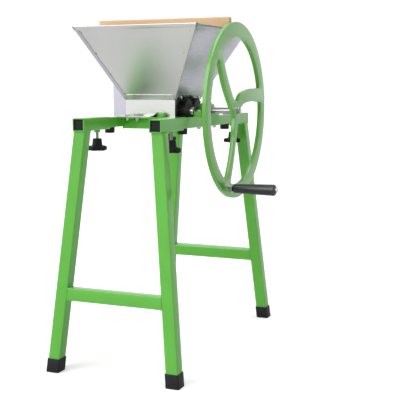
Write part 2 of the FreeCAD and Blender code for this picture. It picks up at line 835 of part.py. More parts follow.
def bearing_base():
    y0 = drive_y - bearing_base_length / 2.0
    body = box(bearing_x0, bearing_x1, y0, y0 + bearing_base_length, rail_top, base_top)
    body = body.cut(cylinder(bush_outer / 2.0, bearing_width, vec(bearing_x0, drive_y, axis_height), X))
    hole = screw_diameter / 2.0 + bolt_hole_fit
    for y in bearing_bolt_ys():
        body = body.cut(cylinder(hole, base_top - rail_top, vec(sleeve_x, y, rail_top), Z))
    for y in (drive_y - cap_screw_spread, drive_y + cap_screw_spread):
        foot = vec(sleeve_x, y, rail_top + cap_screw_seat)
        body = body.cut(cylinder(screw_diameter / 2.0, base_top - foot.z, foot, Z))
    return body


def bearing_cap():
    """Bridge over the bush with rounded shoulders."""
    top = axis_height + cap_rise
    y0 = drive_y - cap_half_length
    body = box(bearing_x0, bearing_x1, y0, y0 + 2.0 * cap_half_length, cap_bottom, top)
    shoulders = []
    for edge in body.Edges:
        b = edge.BoundBox
        if b.XLength > bearing_width - 0.1 and b.ZMin > top - 0.1:
            shoulders.append(edge)
    body = body.makeFillet(cap_round, shoulders)
    body = body.cut(cylinder(bush_outer / 2.0, bearing_width, vec(bearing_x0, drive_y, axis_height), X))
    for y in (drive_y - cap_screw_spread, drive_y + cap_screw_spread):
        hole = screw_diameter / 2.0 + bolt_hole_fit
        body = body.cut(cylinder(hole, top - cap_bottom, vec(sleeve_x, y, cap_bottom), Z))
    return body


def bearing_bush():
    ring = cylinder(bush_outer / 2.0, bearing_width, vec(bearing_x0, drive_y, axis_height), X)
    return ring.cut(cylinder(shaft_bore, bearing_width, vec(bearing_x0, drive_y, axis_height), X))


def bearing_bolts():
    bolts = []
    for y in bearing_bolt_ys():
        grip = base_top - rail_bottom
        place = vec(sleeve_x, y, 0)
        bolts.append(hex_bolt(place, base_top, grip, screw_diameter, screw_flats, screw_head, screw_nut))
    return bolts


def cap_screws():
    screws = []
    top = axis_height + cap_rise
    foot = rail_top + cap_screw_seat
    for y in (drive_y - cap_screw_spread, drive_y + cap_screw_spread):
        head = hexagon(screw_flats, screw_head, vec(sleeve_x, y, top), Z)
        shank = cylinder(screw_diameter / 2.0, top - foot, vec(sleeve_x, y, foot), Z)
        screws.append(head.fuse(shank))
    return screws


# Flywheel and handle

def wheel_point(radius, degrees):
    a = math.radians(degrees)
    return vec(wheel_back, drive_y + radius * math.cos(a), axis_height + radius * math.sin(a))


def spoke(angles, widths):
    """Curved spoke: two smooth edges beside a centre line that swings from hub to rim."""
    edges = []
    ends = []
    for hand in (-1, 1):
        points = []
        for radius, angle, width in zip(spoke_radii, angles, widths):
            half = math.degrees(math.asin(min(width / 2.0 / radius, 1.0)))
            points.append(wheel_point(radius, angle + hand * half))
        curve = Part.BSplineCurve()
        curve.interpolate(points)
        edges.append(curve.toShape())
        ends.append((points[0], points[-1]))
    outer = Part.LineSegment(ends[0][1], ends[1][1]).toShape()
    inner = Part.LineSegment(ends[1][0], ends[0][0]).toShape()
    return Part.Face(Part.Wire([edges[0], outer, edges[1], inner])).extrude(X * wheel_thickness)


def flywheel():
    """Flat rim with three curved spokes; the windows between them have rounded corners."""
    centre = vec(wheel_back, drive_y, axis_height)
    disc = cylinder(wheel_radius, wheel_thickness, centre, X)
    open_ring = cylinder(window_radius, wheel_thickness, centre, X)
    hub_centre = wheel_point(hub_shift, hub_shift_angle)
    open_ring = open_ring.cut(cylinder(hub_radius, wheel_thickness, hub_centre, X))
    for angles, widths in spokes:
        open_ring = open_ring.cut(spoke(angles, widths))
    for window in open_ring.Solids:
        corners = []
        for edge in window.Edges:
            b = edge.BoundBox
            if b.XLength > wheel_thickness - 0.1 and b.YLength < 0.1 and b.ZLength < 0.1:
                corners.append(edge)
        disc = disc.cut(window.makeFillet(window_corner, corners))
    disc = disc.cut(cylinder(shaft_bore, wheel_thickness, centre, X))
    spindle_hole = vec(wheel_back, handle_y, handle_z)
    return disc.cut(cylinder(spindle_diameter / 2.0 + bolt_hole_fit, wheel_thickness, spindle_hole, X))


def hub_washer():
    place = vec(wheel_face, drive_y, axis_height)
    ring = cylinder(hub_washer_diameter / 2.0, hub_washer_thickness, place, X)
    return ring.cut(cylinder(hub_bolt_diameter / 2.0 + bolt_hole_fit, hub_washer_thickness, place, X))


def hub_bolt():
    face = vec(wheel_face + hub_washer_thickness, drive_y, axis_height)
    head = hexagon(hub_bolt_flats, hub_bolt_head, face, X)
    return head.fuse(cylinder(hub_bolt_diameter / 2.0, hub_bolt_length, face, X * -1))


def handle_spindle():
    """Bolt through the rim and the grip, with a slotted head at the grip's end."""
    start = vec(wheel_back - spindle_back, handle_y, handle_z)
    rod = cylinder(spindle_diameter / 2.0, grip_end + grip_gap - start.x, start, X)
    under_head = vec(grip_end + grip_gap, handle_y, handle_z)
    return rod.fuse(cylinder(spindle_head_diameter / 2.0, spindle_head_height, under_head, X))


def handle_nut():
    place = vec(wheel_face, handle_y, handle_z)
    nut = hexagon(spindle_nut_flats, spindle_nut_height, place, X)
    return nut.cut(cylinder(spindle_diameter / 2.0, spindle_nut_height, place, X))


def handle_grip():
    """Turned grip, fuller towards its outer end, free on the spindle."""
    r0 = grip_inner_diameter / 2.0
    r1 = grip_middle_diameter / 2.0
    r2 = grip_outer_diameter / 2.0
    c = grip_round
    middle = grip_length * grip_middle_share
    stations = [(0.0, r0 - c / 2.0), (c, r0), (middle, r1), (grip_length - c, r2), (grip_length, r2 - c)]
    grip = None
    for (x0, ra), (x1, rb) in zip(stations, stations[1:]):
        part = Part.makeCone(ra, rb, x1 - x0, vec(grip_start + x0, handle_y, handle_z), X)
        grip = part if grip is None else grip.fuse(part)
    bore = spindle_diameter / 2.0 + grip_bore_fit
    return grip.cut(cylinder(bore, grip_length, vec(grip_start, handle_y, handle_z), X))


def pusher_bar():
    z0 = rim_height + bar_seat
    bar = box(bar_left, bar_left + bar_length, bar_front, bar_front + bar_depth, z0, z0 + bar_height)
    long_edges = [edge for edge in bar.Edges if edge.BoundBox.XLength > bar_length - 0.1]
    return bar.makeChamfer(bar_edge, long_edges)


def build():
    """Every node as a list of its solids."""
    nodes = {}
    ends = {"front": -1, "rear": 1}
    sides = {"left": -1, "right": 1}
    for end_name, end in ends.items():
        for side_name, side in sides.items():
            place = end_name + "_" + side_name
            nodes["leg_" + place] = [leg(side, end)]
            nodes["sleeve_" + place] = [sleeve(side, end)]
            nodes["clamp_knob_" + place] = [clamp_knob(side, end)]
            nodes["clamp_stud_" + place] = [clamp_stud(side, end)]
        nodes["stretcher_" + end_name] = [stretcher(end)]
        nodes["sleeve_plugs_" + end_name] = [sleeve_plug(side, end) for side in (-1, 1)]
        nodes["foot_caps_" + end_name] = [foot_cap(side, end) for side in (-1, 1)]
        nodes["crossbar_" + end_name] = [crossbar(end)]
        nodes["housing_" + end_name] = [housing_end(end)]
        nodes["hopper_" + end_name] = [hopper_end(end)]
    for side_name, side in sides.items():
        nodes["rail_" + side_name] = [rail(side)]
        nodes["housing_" + side_name] = [housing_side(side)]
        nodes["hopper_" + side_name] = [hopper_side(side)]
    nodes["rail_feet"] = rail_feet()
    nodes["bearing_guard"] = [bearing_guard()]
    nodes["housing_bolts"] = housing_bolts()
    nodes["guard_screws"] = guard_screws()
    nodes["hopper_screws"] = hopper_screws()
    nodes["roller_bushes"] = roller_bushes()
    nodes["drive_shaft"] = [drive_shaft()]
    nodes["driven_shaft"] = [driven_shaft()]
    nodes["drive_roller"] = [cutter_roller(drive_y, disc_count, 0.0, 1)]
    nodes["driven_roller"] = [cutter_roller(driven_y, disc_count - 1, disc_pitch / 2.0, -1)]
    nodes["drive_gear"] = [spur_gear(drive_y, 0.0)]
    nodes["driven_gear"] = [spur_gear(driven_y, math.pi + math.pi / gear_teeth)]
    nodes["bearing_base"] = [bearing_base()]
    nodes["bearing_cap"] = [bearing_cap()]
    nodes["bearing_bush"] = [bearing_bush()]
    nodes["bearing_bolts"] = bearing_bolts()
    nodes["cap_screws"] = cap_screws()
    nodes["flywheel"] = [flywheel()]
    nodes["hub_washer"] = [hub_washer()]
    nodes["hub_bolt"] = [hub_bolt()]
    nodes["handle_spindle"] = [handle_spindle()]
    nodes["handle_nut"] = [handle_nut()]
    nodes["handle_grip"] = [handle_grip()]
    nodes["pusher_bar"] = [pusher_bar()]
    return nodes


for name, solids in build().items():
    shape = solids[0] if len(solids) == 1 else Part.makeCompound(solids)
    shape.translate(vec(move_x, 0, 0))
    shape.exportStep("parts/" + name + ".step")
    print(name, len(shape.Solids), "valid" if shape.isValid() else "NOT VALID")
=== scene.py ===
import math

import bpy
import bmesh
import numpy as np
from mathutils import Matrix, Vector
from mathutils.geometry import tessellate_polygon


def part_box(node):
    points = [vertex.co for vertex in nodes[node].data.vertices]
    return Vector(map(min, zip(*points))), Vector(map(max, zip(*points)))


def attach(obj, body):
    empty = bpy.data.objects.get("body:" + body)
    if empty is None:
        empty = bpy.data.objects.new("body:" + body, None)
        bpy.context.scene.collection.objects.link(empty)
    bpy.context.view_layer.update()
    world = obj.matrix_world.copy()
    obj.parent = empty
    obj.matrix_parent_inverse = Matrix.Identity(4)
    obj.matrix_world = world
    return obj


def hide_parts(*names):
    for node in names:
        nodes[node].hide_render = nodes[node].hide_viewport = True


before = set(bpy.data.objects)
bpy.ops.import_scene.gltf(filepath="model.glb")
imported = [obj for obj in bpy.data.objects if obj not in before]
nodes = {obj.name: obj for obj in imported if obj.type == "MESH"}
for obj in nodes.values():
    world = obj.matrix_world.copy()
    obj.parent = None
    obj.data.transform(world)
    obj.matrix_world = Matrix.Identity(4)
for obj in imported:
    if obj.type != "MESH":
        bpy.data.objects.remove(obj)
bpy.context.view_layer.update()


# ---- Legs -----------------------------------------------------------------
# Four square steel tubes, 30 mm with 1.5 mm wall, cut at a slant so that they
# splay both ways, and sprayed with bright green gloss enamel.

MIDDLE = (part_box("rail_left")[0].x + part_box("rail_right")[1].x) / 2    # plane midway between the rails
ALONG_X, ALONG_Y, ALONG_Z = np.eye(3)
TUBE, TUBE_WALL, TUBE_CORNER = 30, 1.5, 2.5
SLEEVE_UNDERSIDE, LEG_FOOT = 570, 4
LEG_TOP_X, LEG_TOP_Y = 99, 278
SPLAY_X, SPLAY_Y = math.radians(5.65), math.radians(4.92)


def mm(x, y, z):
    """A place in metres from millimetres, measured from the middle plane and the floor."""
    return np.array([x / 1000 + MIDDLE, y / 1000, z / 1000])


def leg_axis(side, end, z):
    """Centre of a leg at height z: it runs out by the tangents of both splay angles."""
    drop = SLEEVE_UNDERSIDE - z
    x = LEG_TOP_X + math.tan(SPLAY_X) * drop
    y = LEG_TOP_Y + math.tan(SPLAY_Y) * drop
    return mm(side * x, end * y, z)


def mesh_piece(name, grids, faces=(), sharp=35):
    """One piece from grids of points, rows by columns. Neighbours in a grid are
    joined by quads; doubled points at seams and poles are merged, so a grid
    whose last row repeats its first is closed. faces adds loose polygons."""
    points, polygons, base = [], [], 0
    for grid in grids:
        rows, cols = grid.shape[:2]
        index = base + np.arange(rows * cols).reshape(rows, cols)
        corners = [index[:-1, :-1], index[:-1, 1:], index[1:, 1:], index[1:, :-1]]
        polygons += np.stack(corners, -1).reshape(-1, 4).tolist()
        points.append(grid.reshape(-1, 3))
        base += rows * cols
    for corners, triangles in faces:
        points.append(corners)
        polygons += (triangles + base).tolist()
        base += len(corners)
    mesh = bpy.data.meshes.new(name)
    mesh.from_pydata(np.concatenate(points).tolist(), [], polygons)
    bm = bmesh.new()
    bm.from_mesh(mesh)
    bmesh.ops.remove_doubles(bm, verts=bm.verts, dist=2e-6)
    bmesh.ops.dissolve_degenerate(bm, edges=bm.edges, dist=1e-7)
    bmesh.ops.recalc_face_normals(bm, faces=bm.faces)
    bm.to_mesh(mesh)
    bm.free()
    mesh.shade_smooth()
    mesh.set_sharp_from_angle(angle=math.radians(sharp))
    piece = bpy.data.objects.new(name, mesh)
    bpy.context.scene.collection.objects.link(piece)
    return piece


def rounded_square(half, corner, steps=5):
    """Closed square outline in mm with a quarter circle at each corner."""
    turn = np.linspace(0, math.pi / 2, steps + 1) + np.arange(4)[:, None] * math.pi / 2
    signs = np.array([(1, 1), (-1, 1), (-1, -1), (1, -1)])[:, None]
    arcs = signs * (half - corner) + corner * np.stack([np.cos(turn), np.sin(turn)], -1)
    ring = arcs.reshape(-1, 2)
    return np.concatenate([ring, ring[:1]])


def carried(section, place, u, v):
    """A flat section in mm set at a place, its two axes along u and v."""
    return place + (section[:, :1] * u + section[:, 1:] * v) / 1000


def square_tube(start, stop, u, v, size, corner, wall):
    """Grid of an open tube: the outline runs from start to stop, turns in over
    a 0.3 mm lip and comes back inside."""
    step = (stop - start) / np.linalg.norm(stop - start) * 0.0003
    outer = rounded_square(size / 2, corner)
    lip = rounded_square(size / 2 - 0.3, corner)
    inner = rounded_square(size / 2 - wall, max(corner - wall, 0.5))
    rows = [(inner, start), (lip, start), (outer, start + step), (outer, stop - step), (lip, stop),
            (inner, stop), (inner, start)]
    return np.stack([carried(section, place, u, v) for section, place in rows])


def shader(name, base, metal=0.0, rough=0.5, **more):
    """New material: returns it, its Principled shader, its tree and object coordinates."""
    material = bpy.data.materials.new(name)
    material.use_nodes = True
    tree = material.node_tree
    surface = tree.nodes["Principled BSDF"]
    surface.inputs["Base Color"].default_value = (*base, 1)
    surface.inputs["Metallic"].default_value = metal
    surface.inputs["Roughness"].default_value = rough
    for key, value in more.items():
        surface.inputs[key.replace("_", " ")].default_value = value
    return material, surface, tree, tree.nodes.new("ShaderNodeTexCoord").outputs["Object"]


def noise(tree, place, scale, stretch=(1, 1, 1), detail=4.0, roughness=0.5):
    """Noise in object space, drawn out along the axes that stretch makes small."""
    mapping = tree.nodes.new("ShaderNodeMapping")
    mapping.inputs["Scale"].default_value = stretch
    texture = tree.nodes.new("ShaderNodeTexNoise")
    texture.inputs["Scale"].default_value = scale
    texture.inputs["Detail"].default_value = detail
    texture.inputs["Roughness"].default_value = roughness
    tree.links.new(place, mapping.inputs["Vector"])
    tree.links.new(mapping.outputs["Vector"], texture.inputs["Vector"])
    return texture.outputs["Fac"]


def colours(tree, surface, factor, stops):
    """Base colour from a ramp over a factor; stops are (position, (r, g, b))."""
    ramp = tree.nodes.new("ShaderNodeValToRGB")
    elements = ramp.color_ramp.elements
    while len(elements) < len(stops):
        elements.new(0.5)
    for element, (position, colour) in zip(elements, stops):
        element.position = position
        element.color = (*colour, 1)
    tree.links.new(factor, ramp.inputs["Fac"])
    tree.links.new(ramp.outputs["Color"], surface.inputs["Base Color"])


def shaded(tone, factor):
    """A colour made darker or lighter by a factor."""
    return tuple(c * factor for c in tone)


def roughness(tree, surface, factor, low, high):
    """Roughness from a factor of 0 to 1, laid over a range of values."""
    remap = tree.nodes.new("ShaderNodeMapRange")
    remap.inputs["To Min"].default_value = low
    remap.inputs["To Max"].default_value = high
    tree.links.new(factor, remap.inputs["Value"])
    tree.links.new(remap.outputs["Result"], surface.inputs["Roughness"])


def relief(tree, surface, *layers):
    """Bumps laid over each other; each layer is (height, strength, depth in metres)."""
    below = None
    for height, strength, depth in layers:
        node = tree.nodes.new("ShaderNodeBump")
        node.inputs["Strength"].default_value = strength
        node.inputs["Distance"].default_value = depth
        tree.links.new(height, node.inputs["Height"])
        if below:
            tree.links.new(below, node.inputs["Normal"])
        below = node.outputs["Normal"]
    tree.links.new(below, surface.inputs["Normal"])


def green_enamel(name, tone):
    """Sprayed gloss enamel: faint clouds in the colour, orange peel and slow waves in the coat."""
    material, surface, tree, place = shader(name, tone, 0.0, 0.30, Coat_Weight=0.35, Coat_Roughness=0.10)
    cloud = noise(tree, place, 9.0, detail=3.0)
    colours(tree, surface, cloud, [(0.3, shaded(tone, 0.92)), (0.7, shaded(tone, 1.06))])
    peel = noise(tree, place, 420.0, detail=2.0)
    roughness(tree, surface, peel, 0.24, 0.36)
    waves = noise(tree, place, 35.0, detail=1.0)
    relief(tree, surface, (waves, 0.05, 0.002), (peel, 0.10, 0.0004))
    return material


def dress(piece, material, body="stand", replaces=()):
    """Gives a new piece its material and body, and hides the CAD nodes it stands for."""
    piece.data.materials.append(material)
    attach(piece, body)
    if replaces:
        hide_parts(*replaces)
    return piece


enamel = green_enamel("stand_enamel", (0.110, 0.500, 0.036))
ENDS = ((-1, "front"), (1, "rear"))
SIDES = ((-1, "left"), (1, "right"))
CORNERS = [(end, side, f"{end_name}_{side_name}") for end, end_name in ENDS for side, side_name in SIDES]
for end, side, corner in CORNERS:
    foot, top = leg_axis(side, end, LEG_FOOT), leg_axis(side, end, SLEEVE_UNDERSIDE)
    tube = square_tube(foot, top, ALONG_X, ALONG_Y, TUBE, TUBE_CORNER, TUBE_WALL)
    dress(mesh_piece(f"leg_tube_{corner}", [tube]), enamel, replaces=[f"leg_{corner}"])


# ---- Foot caps ------------------------------------------------------------
# Black rubber caps pushed over the legs' lower ends, moulded with a rounded
# sole and a soft lip round the mouth.

TINY = 0.0001    # half width or radius in mm at which a form closes


def black_moulding(name, tone, rough, grain_depth=0.15):
    """Moulded black plastic or rubber: fine grain with slight dust in the colour."""
    material, surface, tree, place = shader(name, tone, 0.0, rough, Specular_IOR_Level=0.22)
    dust = noise(tree, place, 30.0, detail=5.0)
    colours(tree, surface, dust, [(0.35, tone), (0.8, shaded(tone, 1.6))])
    grain = noise(tree, place, 900.0, detail=2.0)
    roughness(tree, surface, grain, rough - 0.07, rough + 0.07)
    relief(tree, surface, (grain, grain_depth, 0.0003))
    return material


def foot_cap(side, end):
    """Cap as squares carried up the leg's axis: sole, outside, lip, inside and floor."""
    levels = [(0, TINY, 0), (0, 15.6, 3.0), (0.5, 16.8, 4.2), (1.6, 17.3, 4.7), (31.6, 17.3, 4.7),
              (32.6, 17.0, 4.4), (33, 16.3, 3.7), (32.7, 15.4, 2.9), (31, 15.12, 2.6), (4.05, 15.12, 2.6),
              (4.05, TINY, 0)]    # height, half width, corner radius
    rows = [carried(rounded_square(half, corner), leg_axis(side, end, z), ALONG_X, ALONG_Y)
            for z, half, corner in levels]
    return np.stack(rows)


rubber = black_moulding("black_rubber", (0.012, 0.012, 0.014), 0.55, 0.25)
for end, end_name in ENDS:
    caps = mesh_piece(f"foot_cap_pair_{end_name}", [foot_cap(side, end) for side in (-1, 1)])
    dress(caps, rubber, replaces=[f"foot_caps_{end_name}"])


# ---- Stretchers -----------------------------------------------------------
# More of the leg tube, set level between each pair of legs and welded all
# round; the beads lie under the enamel.

STRETCHER_HEIGHT = 188
BEAD_STEP, BEAD_RIPPLE = 0.001, 0.003


def lengths_along(line):
    """Distance of each point of a line from its first one, measured along it."""
    return np.concatenate([[0], np.cumsum(np.linalg.norm(np.diff(line, axis=0), axis=1))])


def weld_bead(ring, axis, radius):
    """Bead round a closed ring of points: a circle of about the given radius in mm
    is carried along the ring and swells and shrinks in ripples 3 mm apart."""
    lengths = lengths_along(ring)
    along = np.linspace(0, lengths[-1], int(lengths[-1] / BEAD_STEP) + 1)
    path = np.stack([np.interp(along, lengths, ring[:, k]) for k in range(3)], 1)
    tangent = np.roll(path[:-1], -1, 0) - np.roll(path[:-1], 1, 0)
    tangent = np.concatenate([tangent, tangent[:1]])
    across = np.cross(tangent, axis)
    across /= np.linalg.norm(across, axis=1)[:, None]
    ripples = round(lengths[-1] / BEAD_RIPPLE)
    swell = radius / 1000 * (0.9 + 0.12 * np.sin(along / along[-1] * 2 * math.pi * ripples))
    turn = np.linspace(0, 2 * math.pi, 9)[:, None, None]
    return path + swell[:, None] * (np.cos(turn) * across + np.sin(turn) * axis)


for end, end_name in ENDS:
    middle = leg_axis(0, end, STRETCHER_HEIGHT)
    rise = np.array([0, -math.sin(SPLAY_Y * end), math.cos(SPLAY_Y * end)])
    depth = np.array([0, math.cos(SPLAY_Y * end), math.sin(SPLAY_Y * end)])
    ring = carried(rounded_square(TUBE / 2, TUBE_CORNER), middle, depth, rise)
    reach = LEG_TOP_X - TUBE / 2 + math.tan(SPLAY_X) * (SLEEVE_UNDERSIDE - ring[:, 2] * 1000)
    left, right = [ring + side * reach[:, None] / 1000 * ALONG_X for side in (-1, 1)]
    centres = [np.repeat(cut.mean(0)[None], len(cut), 0) for cut in (left, right)]
    bar = np.stack([centres[0], left, right, centres[1]])
    beads = [weld_bead(left, -ALONG_X, 1.5), weld_bead(right, ALONG_X, 1.5)]
    stretcher = mesh_piece(f"stretcher_tube_{end_name}", [bar] + beads)
    dress(stretcher, enamel, replaces=[f"stretcher_{end_name}"])


# ---- Sleeves --------------------------------------------------------------
# A short length of the same tube welded across each leg's top, with a nut
# welded under it for the clamp; the rail slides inside.

STAND_END, SLEEVE_LENGTH, SLEEVE_X, SLEEVE_Z, SLEEVE_WALL = 300, 130, 97.5, 585, 2.3
KNOB_Y = 210
NUT_FLATS, NUT_HEIGHT, NUT_BORE = 13, 6, 4.2
HEX_CORNER, HEX_FACE, HEX_CONE = 0.58, 0.475, 0.55    # chamfer's radii for flats of 1, and its steepness


def turned(place, axis, along, radius, angle=None, steps=48):
    """Grid of a turned form: each point of the profile, at a distance along the
    axis and a radius in mm, swings round the axis. radius may change with angle.
    Angles start at X or Z itself, so round a slanted axis the rings are a little skewed."""
    axis = np.asarray(axis, float)
    side = ALONG_X if abs(axis[2]) > 0.5 else ALONG_Z
    up = np.cross(axis, side)
    angle = np.linspace(0, 2 * math.pi, steps + 1) if angle is None else angle
    ring = np.cos(angle)[:, None] * side + np.sin(angle)[:, None] * up
    along, radius = np.asarray(along, float), np.asarray(radius, float)
    radius = np.broadcast_to(radius.reshape(len(along), -1), (len(along), len(angle)))
    return place + (along[:, None, None] * axis + radius[:, :, None] * ring) / 1000


def six_flats(radius, flats, steps=48):
    """Radii of a turned profile held in by a hexagon: the lesser of the two at each angle."""
    angle = np.linspace(0, 2 * math.pi, steps + 1)
    hexagon = flats / 2 / np.cos((angle + math.pi / 6) % (math.pi / 3) - math.pi / 6)
    return np.minimum(np.asarray(radius, float)[:, None], hexagon)


def hex_nut(place, axis, flats, height, bore):
    """Nut whose corners a cone takes off at both faces."""
    corner, face = flats * HEX_CORNER, flats * HEX_FACE
    cut = (corner - face) * HEX_CONE
    along = [0, 0, cut, height - cut, height, height, 0]
    return turned(place, axis, along, six_flats([bore, face, corner, corner, face, bore, bore], flats))


for end, side, corner in CORNERS:
    start = mm(side * SLEEVE_X, end * (STAND_END - SLEEVE_LENGTH), SLEEVE_Z)
    stop = mm(side * SLEEVE_X, end * STAND_END, SLEEVE_Z)
    tube = square_tube(start, stop, ALONG_X, ALONG_Z, TUBE, TUBE_CORNER, SLEEVE_WALL)
    nut_place = mm(side * SLEEVE_X, end * KNOB_Y, SLEEVE_UNDERSIDE)
    nut = hex_nut(nut_place, -ALONG_Z, NUT_FLATS, NUT_HEIGHT, NUT_BORE)
    joint = leg_axis(side, end, SLEEVE_UNDERSIDE - 0.6)
    leg_top = carried(rounded_square(TUBE / 2, TUBE_CORNER), joint, ALONG_X, ALONG_Y)
    edge = (TUBE / 2 + 0.2) / 1000    # the bead doesn't pass the sleeve's side
    leg_top[:, 0] = np.clip(leg_top[:, 0], start[0] - edge, start[0] + edge)
    sleeve = mesh_piece(f"sleeve_tube_{corner}", [tube, nut, weld_bead(leg_top, ALONG_Z, 1.4)])
    dress(sleeve, enamel, replaces=[f"sleeve_{corner}"])


# ---- Sleeve plugs ---------------------------------------------------------
# Black plastic plugs pressed into the sleeves' outer ends, a little below the
# tube's edge, each with a shallow square hollow.

def sleeve_plug(side, end):
    """Plug as squares carried along the sleeve: back, sides, rounded edge and hollow."""
    levels = [(14.5, TINY, 0), (14.5, 12.6, 0.6), (3.1, 12.6, 0.6), (2.6, 12.1, 0.6), (2.6, 10.6, 0.8),
              (3.6, 10.0, 0.8), (3.6, TINY, 0)]    # depth from the sleeve's end, half width, corner radius
    rows = [carried(rounded_square(half, corner), mm(side * SLEEVE_X, end * (STAND_END - depth), SLEEVE_Z),
                    ALONG_X, ALONG_Z) for depth, half, corner in levels]
    return np.stack(rows)


plastic = black_moulding("black_plastic", (0.006, 0.006, 0.008), 0.50)
for end, end_name in ENDS:
    plugs = mesh_piece(f"sleeve_plug_pair_{end_name}", [sleeve_plug(side, end) for side in (-1, 1)])
    dress(plugs, plastic, replaces=[f"sleeve_plugs_{end_name}"])


# ---- Clamp knobs ----------------------------------------------------------
# Moulded knobs with five lobes on a tapered hub, each on an 8 mm zinc plated
# stud that screws through the weld nut and presses the rail from below.

KNOB_TOP = 549
KNOB_PROFILE = np.array([    # below the hub's top, radius at a lobe's crest, share of the lobes' depth
    (0, 3.9, 0), (0, 9.4, 0), (0.7, 10.5, 0), (1.8, 11.0, 0), (13.5, 12.0, 0), (15.6, 12.7, 0),
    (16.8, 14.5, 0.1), (17.3, 18.0, 0.45), (18.2, 22.0, 0.85), (19.6, 24.2, 1), (21.5, 25.0, 1),
    (25.5, 25.0, 1), (27.6, 24.2, 1), (28.8, 22.4, 0.9), (29, 19.0, 0.7), (28.4, 15.0, 0.4),
    (26.5, 11.0, 0.1), (26.0, TINY, 0)])
LOBES, LOBE_DEPTH, FIRST_LOBE = 5, 7.5, math.radians(18)
STUD_PITCH, STUD_RADIUS, STUD_CHAMFER = 1.25, 4.0, 1.0


def thread(place, axis, length, radius, pitch):
    """Threaded rod: the radius falls by 0.6 pitch in a triangle wave that runs on
    one pitch for each turn, and both ends are chamfered."""
    along = np.linspace(0, length, int(length / pitch * 6) + 1)
    angle = np.linspace(0, 2 * math.pi, 25)
    wave = np.abs(((along[:, None] / pitch - angle / (2 * math.pi)) % 1) * 2 - 1)
    radii = radius - 0.6 * pitch * wave
    tip = radius - STUD_CHAMFER + np.minimum(along, length - along)
    radii = np.minimum(radii, tip[:, None])
    along = np.concatenate([[0], along, [length]])
    closed = np.full((1, len(angle)), TINY)
    radii = np.concatenate([closed, radii, closed])
    return turned(place, axis, along, radii, angle)


def plated_steel(name, tone, rough):
    """Zinc plated steel: cloudy grey with a fine satin grain."""
    material, surface, tree, place = shader(name, tone, 1.0, rough)
    cloud = noise(tree, place, 80.0, detail=4.0)
    colours(tree, surface, cloud, [(0.3, shaded(tone, 0.82)), (0.7, tone)])
    roughness(tree, surface, noise(tree, place, 600.0, detail=3.0), rough - 0.08, rough + 0.08)
    return material


zinc = plated_steel("zinc_plate", (0.50, 0.51, 0.51), 0.20)
knob_angle = np.linspace(0, 2 * math.pi, 121)
valleys = -LOBE_DEPTH * (0.5 - 0.5 * np.cos(LOBES * (knob_angle - FIRST_LOBE))) ** 1.2
knob_radii = KNOB_PROFILE[:, 1:2] + KNOB_PROFILE[:, 2:] * valleys
for end, side, corner in CORNERS:
    place = mm(side * SLEEVE_X, end * KNOB_Y, KNOB_TOP)
    moulding = turned(place, -ALONG_Z, KNOB_PROFILE[:, 0], knob_radii, knob_angle)
    knob = mesh_piece(f"knob_moulding_{corner}", [moulding])
    dress(knob, plastic, f"clamp_{corner}", [f"clamp_knob_{corner}"])
    low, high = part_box(f"clamp_stud_{corner}")
    bottom = mm(side * SLEEVE_X, end * KNOB_Y, low.z * 1000)
    rod = thread(bottom, ALONG_Z, (high.z - low.z) * 1000, STUD_RADIUS, STUD_PITCH)
    stud = mesh_piece(f"stud_thread_{corner}", [rod])
    dress(stud, zinc, f"clamp_{corner}", [f"clamp_stud_{corner}"])


# ---- Rails and their feet -------------------------------------------------
# Two 25 mm tubes that carry the crusher and slide in the sleeves; the round
# rubber feet below let the crusher stand on a table by itself.

RAIL, RAIL_WALL, RAIL_CORNER, RAIL_TOP, RAIL_HALF = 25, 2, 2, 598.4, 285
FOOT_Y = 145
FOOT_PROFILE = np.array([    # below the rail, radius: outside, sole, screw recess
    (0, TINY), (0, 11.8), (0.6, 12.25), (12.8, 11.9), (13.7, 11.4), (14, 10.6), (14, 6.0), (11, 5.6),
    (11, 3.6), (9, 3.4), (9, TINY)])
for side, side_name in SIDES:
    ends = [mm(side * SLEEVE_X, y, RAIL_TOP - RAIL / 2) for y in (-RAIL_HALF, RAIL_HALF)]
    tube = square_tube(*ends, ALONG_X, ALONG_Z, RAIL, RAIL_CORNER, RAIL_WALL)
    dress(mesh_piece(f"rail_tube_{side_name}", [tube]), enamel, replaces=[f"rail_{side_name}"])
feet = []
for end, side, corner in CORNERS:
    top = mm(side * SLEEVE_X, end * FOOT_Y, RAIL_TOP - RAIL)
    feet.append(turned(top, -ALONG_Z, FOOT_PROFILE[:, 0], FOOT_PROFILE[:, 1]))
dress(mesh_piece("rail_foot_rubbers", feet), rubber, replaces=["rail_feet"])


# ---- Cross bars -----------------------------------------------------------
# Hot rolled 30 mm angle iron welded between the rails, front and rear; a
# half-round lug stands on the front one beside the housing's tongue.

ANGLE_LEG, ANGLE_THICK = 30, 3
ANGLE_RADII = [0.8, 0.5, 1.8, 4.0, 1.8, 0.5]
HOUSING_FRONT, HOUSING_REAR = -94.75, 65.25
LUG_X, LUG_RADIUS, LUG_SHOULDER, LUG_FRONT, LUG_DEPTH = 26, 9, 3, -112.75, 9


